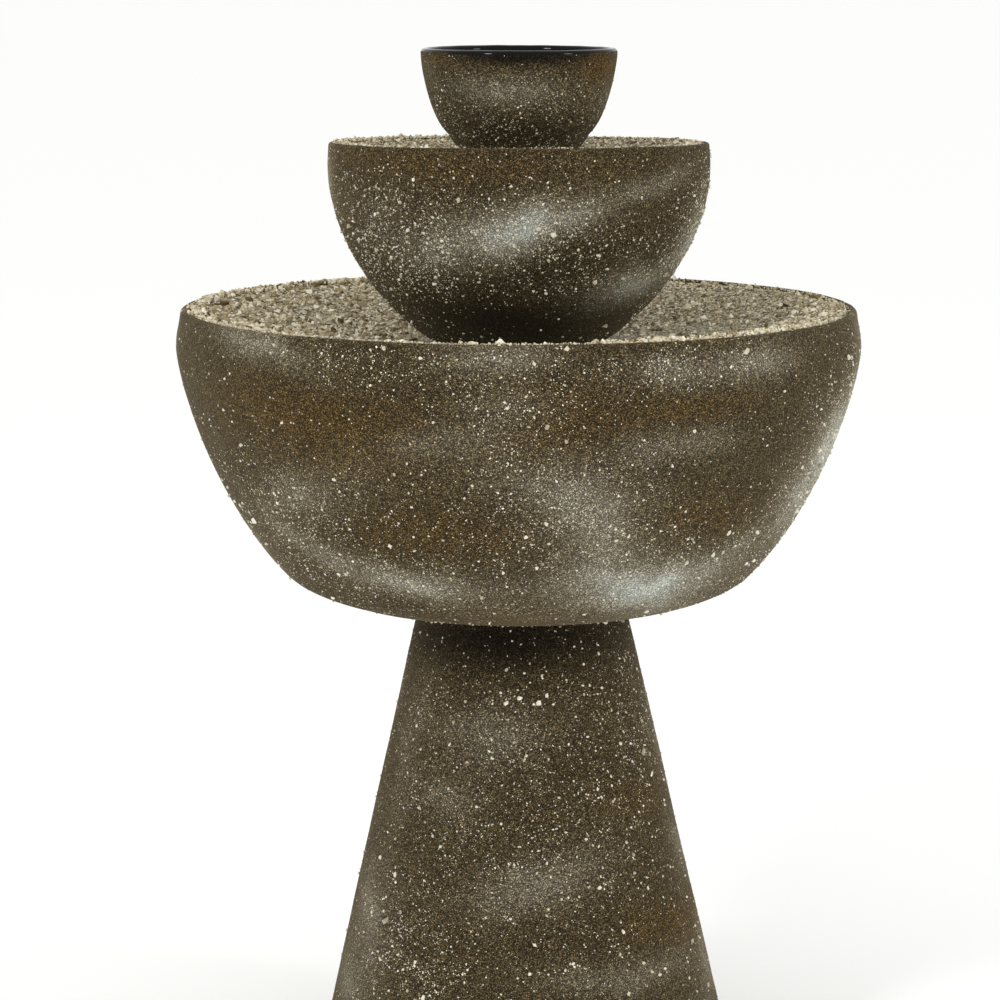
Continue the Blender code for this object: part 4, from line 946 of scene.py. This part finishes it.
def set_up_studio():
    """A white room, soft from all round, with a small soft light at each side of the front."""
    camera = bpy.data.cameras.new("camera")
    camera.sensor_width = 36
    camera.lens = LENS
    camera.clip_start = 0.05
    holder = bpy.data.objects.new("camera", camera)
    holder.location = CAMERA_PLACE
    holder.rotation_euler = (math.radians(90 - CAMERA_DOWN), 0, 0)
    bpy.context.scene.collection.objects.link(holder)
    bpy.context.scene.camera = holder

    world = bpy.data.worlds.new("white_room")
    world.use_nodes = True
    background = world.node_tree.nodes["Background"]
    background.inputs["Color"].default_value = srgb("#ffffff")
    background.inputs["Strength"].default_value = 1.0
    bpy.context.scene.world = world
    bpy.context.scene.view_settings.view_transform = "Standard"

    for name, place, size, power in (
        ("key_light", (-1.3, -1.6, 1.6), 0.32, 14),
        ("fill_light", (1.5, -0.9, 1.1), 0.3, 5),
    ):
        light = bpy.data.lights.new(name, "AREA")
        light.size = size
        light.energy = power
        lamp = bpy.data.objects.new(name, light)
        lamp.location = place
        aim = Vector((0, 0, 0.3)) - Vector(place)
        lamp.rotation_euler = aim.to_track_quat("-Z", "Y").to_euler()
        bpy.context.scene.collection.objects.link(lamp)

    floor = bmesh.new()
    bmesh.ops.create_circle(floor, cap_ends=True, segments=96, radius=FLOOR_RADIUS)
    white = new_material("floor_paper", base_color=srgb("#fdfdfb"), roughness=0.9)[0]
    keep("floor", floor, [white], 0)


# ---- The pieces --------------------------------------------------------------------------
def finish(piece, body, nodes):
    """Puts a piece on its body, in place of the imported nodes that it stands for."""
    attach(piece, body)
    if nodes:
        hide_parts(*nodes)
    return piece


def ruffle(made, moved, seed, amount):
    """Gives a turned shell its slight unevenness, and then its lean."""
    for vertex in made.verts:
        normal = vertex.normal.copy()
        vertex.co += normal * hand_thrown(vertex.co, seed, amount)
    for vertex in made.verts:
        vertex.co += moved(vertex.co)


def make_bowl(
    name, bowl, deck, coat, node, body, *, hole, seed, materials, sides, chips, bores=()
):
    """A turned bowl with its sand coat, and the flakes that stand out of the coat.

    hole is the radius of the one at its middle, and bores holds (places, radius) of the
    others through its floor. chips says how many flakes, and of what sizes.
    """
    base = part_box(node)[0].z
    moved = lean_of(bowl, base)
    made = spun(bowl_section(bowl, deck, hole), sides, base)
    made.normal_update()
    ruffle(made, moved, seed, BOWL_UNEVEN)
    if len(materials) > 1:
        glaze_inside(made, bowl, base, moved)
    piece = keep(name, made, materials)
    for places, radius in bores:
        drill(piece, places, radius, base - CUT, base + bowl.floor + CUT)
    finish(piece, body, [node])
    low, high = (base + 10 * MM) / MM, (base + bowl.height) / MM
    full = sprayed_behind(coat, low, high, bowl.rim_radius / MM, seed)
    paint(piece, full, seed)
    draw = random.Random(seed)
    outside = [p for p in bowl_outline(bowl, 20) if p.y < bowl.height - 2 * MM]

    def allow(places):
        # Fewer flakes are placed where the coat is painted near black, as shade under a bowl, so it
        # stays dark.
        bare = 1 - 0.9 * patch_levels(full.shade, places, seed)
        return (0.1 + 0.9 * patch_levels(full.crumbs, places, seed)) * bare

    places = places_on(outside, base, moved, seed, BOWL_UNEVEN, allow, draw)
    flakes = scatter(name + "_flakes", FLAKES, chips, draw, places, FLAT)
    finish(flakes, body, [])


def glaze_inside(made, bowl, base, moved):
    """Gives a bowl's inside and lip its second material. It has run furthest at the front."""
    rim = base + bowl.height - GLAZED_LIP
    for face in made.faces:
        middle = face.calc_center_median()
        radius = math.hypot(middle.x, middle.y)
        facing_in = face.normal.x * middle.x + face.normal.y * middle.y < 0
        facing_up = face.normal.z > 0.97
        run = GLAZE_RUN * max(-middle.y / max(radius, 1 * MM), 0) ** 3
        over = middle.z - moved(middle).z > rim - run
        above_floor = middle.z > base + bowl.floor - 1 * MM
        if above_floor and (facing_in or over or facing_up):
            face.material_index = 1


def make_deck(name, bowl, deck, node, body, seed, sides, coarse, fine):
    """A dished deck under bonded grit, with whole chips on top, coarse ones and fine ones."""
    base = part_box(node)[1].z + deck.edge_drop
    rim_base = base - bowl.height
    moved = lean_of(bowl, rim_base)
    made = spun(deck_section(bowl, deck, 60), sides, base)
    made.normal_update()
    seat = deck.seat_radius + 1 * MM  # smooth inside this, for the drain grate
    for vertex in made.verts:
        if vertex.normal.z > 0.4 and math.hypot(vertex.co.x, vertex.co.y) > seat:
            rough = noise.noise(vertex.co * 420) * 0.5 + noise.noise(vertex.co * 900) * 0.35
            vertex.co.z += (rough + 0.2) * 0.9 * MM
    for vertex in made.verts:
        vertex.co += moved(vertex.co)
    piece = finish(keep(name, made, [GRIT]), body, [node])
    worn = [deck_wear(bowl, vertex.co) for vertex in piece.data.vertices]
    piece.data.attributes.new("worn", "FLOAT", "POINT").data.foreach_set("value", worn)
    draw = random.Random(seed)
    profile = [Vector((p.x, p.y)) for p in reversed(deck_section(bowl, deck, 12))]
    inner = (deck.seat_radius or deck.hole) + 1 * MM
    over = [p for p in profile if p.x > inner and p.y > -deck.depth - 0.1 * MM]
    for kind, chips in (("coarse", coarse), ("fine", fine)):

        def allow(places):
            if kind == "fine":
                return [1] * len(places)
            left = [0.65 - 0.35 * place.x / bowl.rim_radius for place in places]
            return [(1.04 - deck_wear(bowl, p)) * share for p, share in zip(places, left)]

        places = places_on(over, base, moved, seed, 0, allow, draw)
        crumbs = scatter(f"{name}_{kind}_chips", CHIPS, chips, draw, places, STANDING)
        finish(crumbs, body, [])


def deck_wear(bowl, place):
    """How fine and greenish the grit is: most round the middle and toward the front."""
    away = math.hypot(place.x - 0.1 * bowl.rim_radius, place.y + 0.3 * bowl.rim_radius)
    drift = noise.noise(place * 40) * 0.18 + noise.noise(place * 130) * 0.08
    level = 1.3 - 1.6 * away / bowl.rim_radius + drift
    return min(max(level, 0), 1)


def pedestal_shift(point):
    """How far the leaning cone stands off the bowls' axis, at a point's height."""
    top, foot = PEDESTAL_LEAN
    share = min(max(point.z / LEAN_HEIGHT, 0), 1)
    return Vector((foot + (top - foot) * share, 0, 0))


def make_pedestal():
    """The hollow cone with its sand coat, its holes, and the flakes that stand out of it."""
    low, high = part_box("pedestal")
    height = high.z - low.z
    lean = (PEDESTAL_BASE_RADIUS - PEDESTAL_TOP_RADIUS) / height
    side = PEDESTAL_WALL * math.sqrt(1 + lean * lean)
    inner_top = PEDESTAL_TOP_RADIUS + lean * PEDESTAL_PLATE - side
    flange_top = PEDESTAL_BASE_RADIUS - lean * PEDESTAL_FLANGE_HEIGHT - side
    flange_in = PEDESTAL_BASE_RADIUS - PEDESTAL_FLANGE
    edge = PEDESTAL_EDGE
    wall, outline = (
        [Vector((PEDESTAL_BASE_RADIUS - lean * height * k / n, height * k / n)) for k in steps]
        for n, steps in ((90, range(1, 90)), (20, range(21)))
    )
    section = [
        Vector((0, height - PEDESTAL_PLATE)),
        Vector((inner_top, height - PEDESTAL_PLATE)),
        Vector((flange_top, PEDESTAL_FLANGE_HEIGHT)),
        Vector((flange_in, PEDESTAL_FLANGE_HEIGHT)),
        Vector((flange_in, 0)),
        Vector((PEDESTAL_BASE_RADIUS - edge, 0)),
        Vector((PEDESTAL_BASE_RADIUS - edge * 0.3, edge * 0.3)),
        *wall,
        Vector((PEDESTAL_TOP_RADIUS + lean * edge, height - edge)),
        Vector((PEDESTAL_TOP_RADIUS - edge * 0.3, height - edge * 0.3)),
        Vector((PEDESTAL_TOP_RADIUS - edge, height)),
        Vector((0, height)),
    ]
    made = spun(section, 256, low.z)
    made.normal_update()
    seed = 5
    ruffle(made, pedestal_shift, seed, PEDESTAL_UNEVEN)
    piece = keep("pedestal_shell", made, [SAND])
    span = (low.z + height - PEDESTAL_PLATE - CUT, high.z + CUT)
    drill(piece, SCREWS, SCREW_HOLE, *span)
    drill(piece, GLAND, GLAND_HOLE, *span)
    pads = [middle_of(f"pad_{n}") for n in (1, 2, 3, 4)]
    drill(piece, pads, PAD_HOLE, -CUT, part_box("pad_1")[1].z + GAP)
    bore_for_inlet(piece)
    finish(piece, "base", ["pedestal"])
    full = sprayed_behind(PEDESTAL_COAT, 10, 210, 70, seed)
    paint(piece, full, seed)

    def allow(places):
        return 0.14 + 0.86 * patch_levels(full.crumbs, places, seed)

    draw = random.Random(seed)
    places = places_on(outline, low.z, pedestal_shift, seed, PEDESTAL_UNEVEN, allow, draw)
    flakes = scatter("pedestal_flakes", FLAKES, (4600, 0.3, 0.6, 1.7), draw, places, FLAT)
    finish(flakes, "base", [])


def middle_of(node):
    """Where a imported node's middle is, seen from above."""
    low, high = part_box(node)
    return (low.x + high.x) / 2, (low.y + high.y) / 2


def bore_for_inlet(piece):
    """The stepped hole through the back wall for the power inlet and its nut."""
    slope = math.atan((PEDESTAL_BASE_RADIUS - PEDESTAL_TOP_RADIUS) / PEDESTAL_HEIGHT)
    outside = PEDESTAL_BASE_RADIUS - (INLET_HEIGHT - PAD_STAND) * math.tan(slope)
    inner_face = 1 * MM - PEDESTAL_WALL
    pocket = [
        (0, 6 * MM),
        (6.8 * MM, 6 * MM),
        (6.8 * MM, -1 * MM),
        (4.3 * MM, -1 * MM),
        (4.3 * MM, inner_face),
        (7 * MM, inner_face),
        (7 * MM, inner_face - 10 * MM),
        (0, inner_face - 10 * MM),
    ]
    made = spun([Vector(p) for p in pocket], 32, 0)
    place = Matrix.Translation((0, outside, INLET_HEIGHT))
    turn = Matrix.Rotation(slope - math.pi / 2, 4, "X")
    bmesh.ops.transform(made, matrix=place @ turn, verts=made.verts)
    cut_with(piece, made)


def lip_grit(name, bowl, node, body, seed, runs):
    """Grit bonded along a bowl's lip.

    A run is the azimuths it spans, how far in from the rim's edge it lies, how wide it is and
    how deep it is heaped, how many chips, and their middle size in mm.
    """
    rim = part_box(node)[1].z
    moved = lean_of(bowl, rim - bowl.height)
    draw = random.Random(seed)
    for number, (first, last, inward, width, heap, count, size) in enumerate(runs, 1):

        def places():
            while True:
                angle = math.radians(draw.uniform(first, last))
                fade = noise.noise(Vector((math.cos(angle), math.sin(angle), seed)) * 7)
                if fade < draw.uniform(-0.9, 0.1):
                    continue
                radius = bowl.rim_radius - inward + draw.gauss(0, width / 2)
                spot = Vector((radius * math.sin(angle), -radius * math.cos(angle), rim))
                over = min(max((spot.xy.length - bowl.rim_radius + 3 * MM) / (3 * MM), 0), 1)
                spot.z -= 2.2 * MM * over * over + draw.random() * heap
                yield spot + moved(spot), UP

        chips = (count, size, 0.4, 1.9)
        run = scatter(f"{name}_{number}", CHIPS, chips, draw, places(), CHUNKY)
        finish(run, body, [])


# ---- Making the fountain -----------------------------------------------------------------
set_up_studio()

SAND = sand_coat()
GRIT = bonded_grit()
GLAZE = black_glaze()
FLAKES = loose_chips("sand_flakes", ["#a59d86", "#cbc3ac", "#ded7c3", "#f0eadb"])
CHIPS = loose_chips("grit_chips", ["#5a4a2c", "#aa9b7a", "#cabfa2", "#dcd4bb", "#eee8d6"])

SCREWS = [middle_of(f"bowl_screw_{n}") for n in (1, 2, 3)]
GLAND = [middle_of("gland_body")]

# Chips are given as how many, and their middle size, spread and largest size in mm.
make_bowl(
    "lower_bowl_shell", LOWER, LOWER_DECK, LOWER_COAT, "lower_bowl", "base",
    hole=0, seed=1, materials=[SAND], sides=320, chips=(6500, 0.29, 0.58, 1.6),
    bores=[(SCREWS, SCREW_HOLE), (GLAND, GLAND_HOLE)],
)
make_bowl(
    "middle_bowl_shell", MIDDLE, MIDDLE_DECK, MIDDLE_COAT, "middle_bowl", "middle_bowl",
    hole=RISER_HOLE, seed=2, materials=[SAND], sides=256, chips=(5600, 0.26, 0.58, 1.5),
)
make_bowl(
    "top_bowl_shell", TOP, None, TOP_COAT, "top_bowl", "top_bowl",
    hole=FITTING_HOLE, seed=3, materials=[SAND, GLAZE], sides=192, chips=(800, 0.2, 0.55, 1.1),
)
make_pedestal()
make_deck(
    "lower_deck_grit", LOWER, LOWER_DECK, "lower_deck", "lower_deck", seed=11, sides=420,
    coarse=(7800, 0.9, 0.4, 1.9), fine=(16000, 0.4, 0.35, 0.9),
)
make_deck(
    "middle_deck_grit", MIDDLE, MIDDLE_DECK, "middle_deck", "middle_deck", seed=12, sides=300,
    coarse=(3200, 0.68, 0.35, 1.3), fine=(5000, 0.36, 0.3, 0.7),
)
lip_grit("lower_lip_grit", LOWER, "lower_bowl", "base", 31, (
    (182, 258, 2.4 * MM, 2.4 * MM, 0.3 * MM, 1500, 0.42),  # over the lip, back left
    (-4, 9, 2.0 * MM, 2.4 * MM, 0, 60, 0.5),  # loose crumbs at the very front
))
lip_grit("lower_deck_edge_grit", LOWER, "lower_bowl", "lower_deck", 33, (
    (12, 64, 8.0 * MM, 5.0 * MM, 1.6 * MM, 5000, 0.46),  # heaped inside the front lip, right
    (-78, 12, 4.8 * MM, 1.0 * MM, 1.0 * MM, 1500, 0.27),  # a thin line inside the rest of it
    (178, 284, 6.5 * MM, 4.0 * MM, 0.6 * MM, 1900, 0.6),  # thick at the back left
    (64, 178, 5.2 * MM, 1.6 * MM, 0.8 * MM, 500, 0.4),
))
lip_grit("middle_lip_grit", MIDDLE, "middle_bowl", "middle_bowl", 32, (
    (180, 265, 1.8 * MM, 1.6 * MM, 0.2 * MM, 700, 0.4),
))
lip_grit("middle_deck_edge_grit", MIDDLE, "middle_bowl", "middle_deck", 34, (
    (180, 284, 5.0 * MM, 3.4 * MM, 0.2 * MM, 1500, 0.38),
    (75, 180, 4.4 * MM, 1.6 * MM, 0.8 * MM, 500, 0.34),
    (-76, 75, 3.6 * MM, 0.8 * MM, 0.6 * MM, 350, 0.32),
))

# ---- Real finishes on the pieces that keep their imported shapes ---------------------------
finishes = plain_finishes()
slot_of = {part["node"]: part["material_slot"] for part in frame["record"]["subparts"]}
for node, piece in frame["nodes"].items():
    chosen = finishes.get(slot_of[node])
    if chosen and piece.material_slots:
        piece.material_slots[0].material = chosen
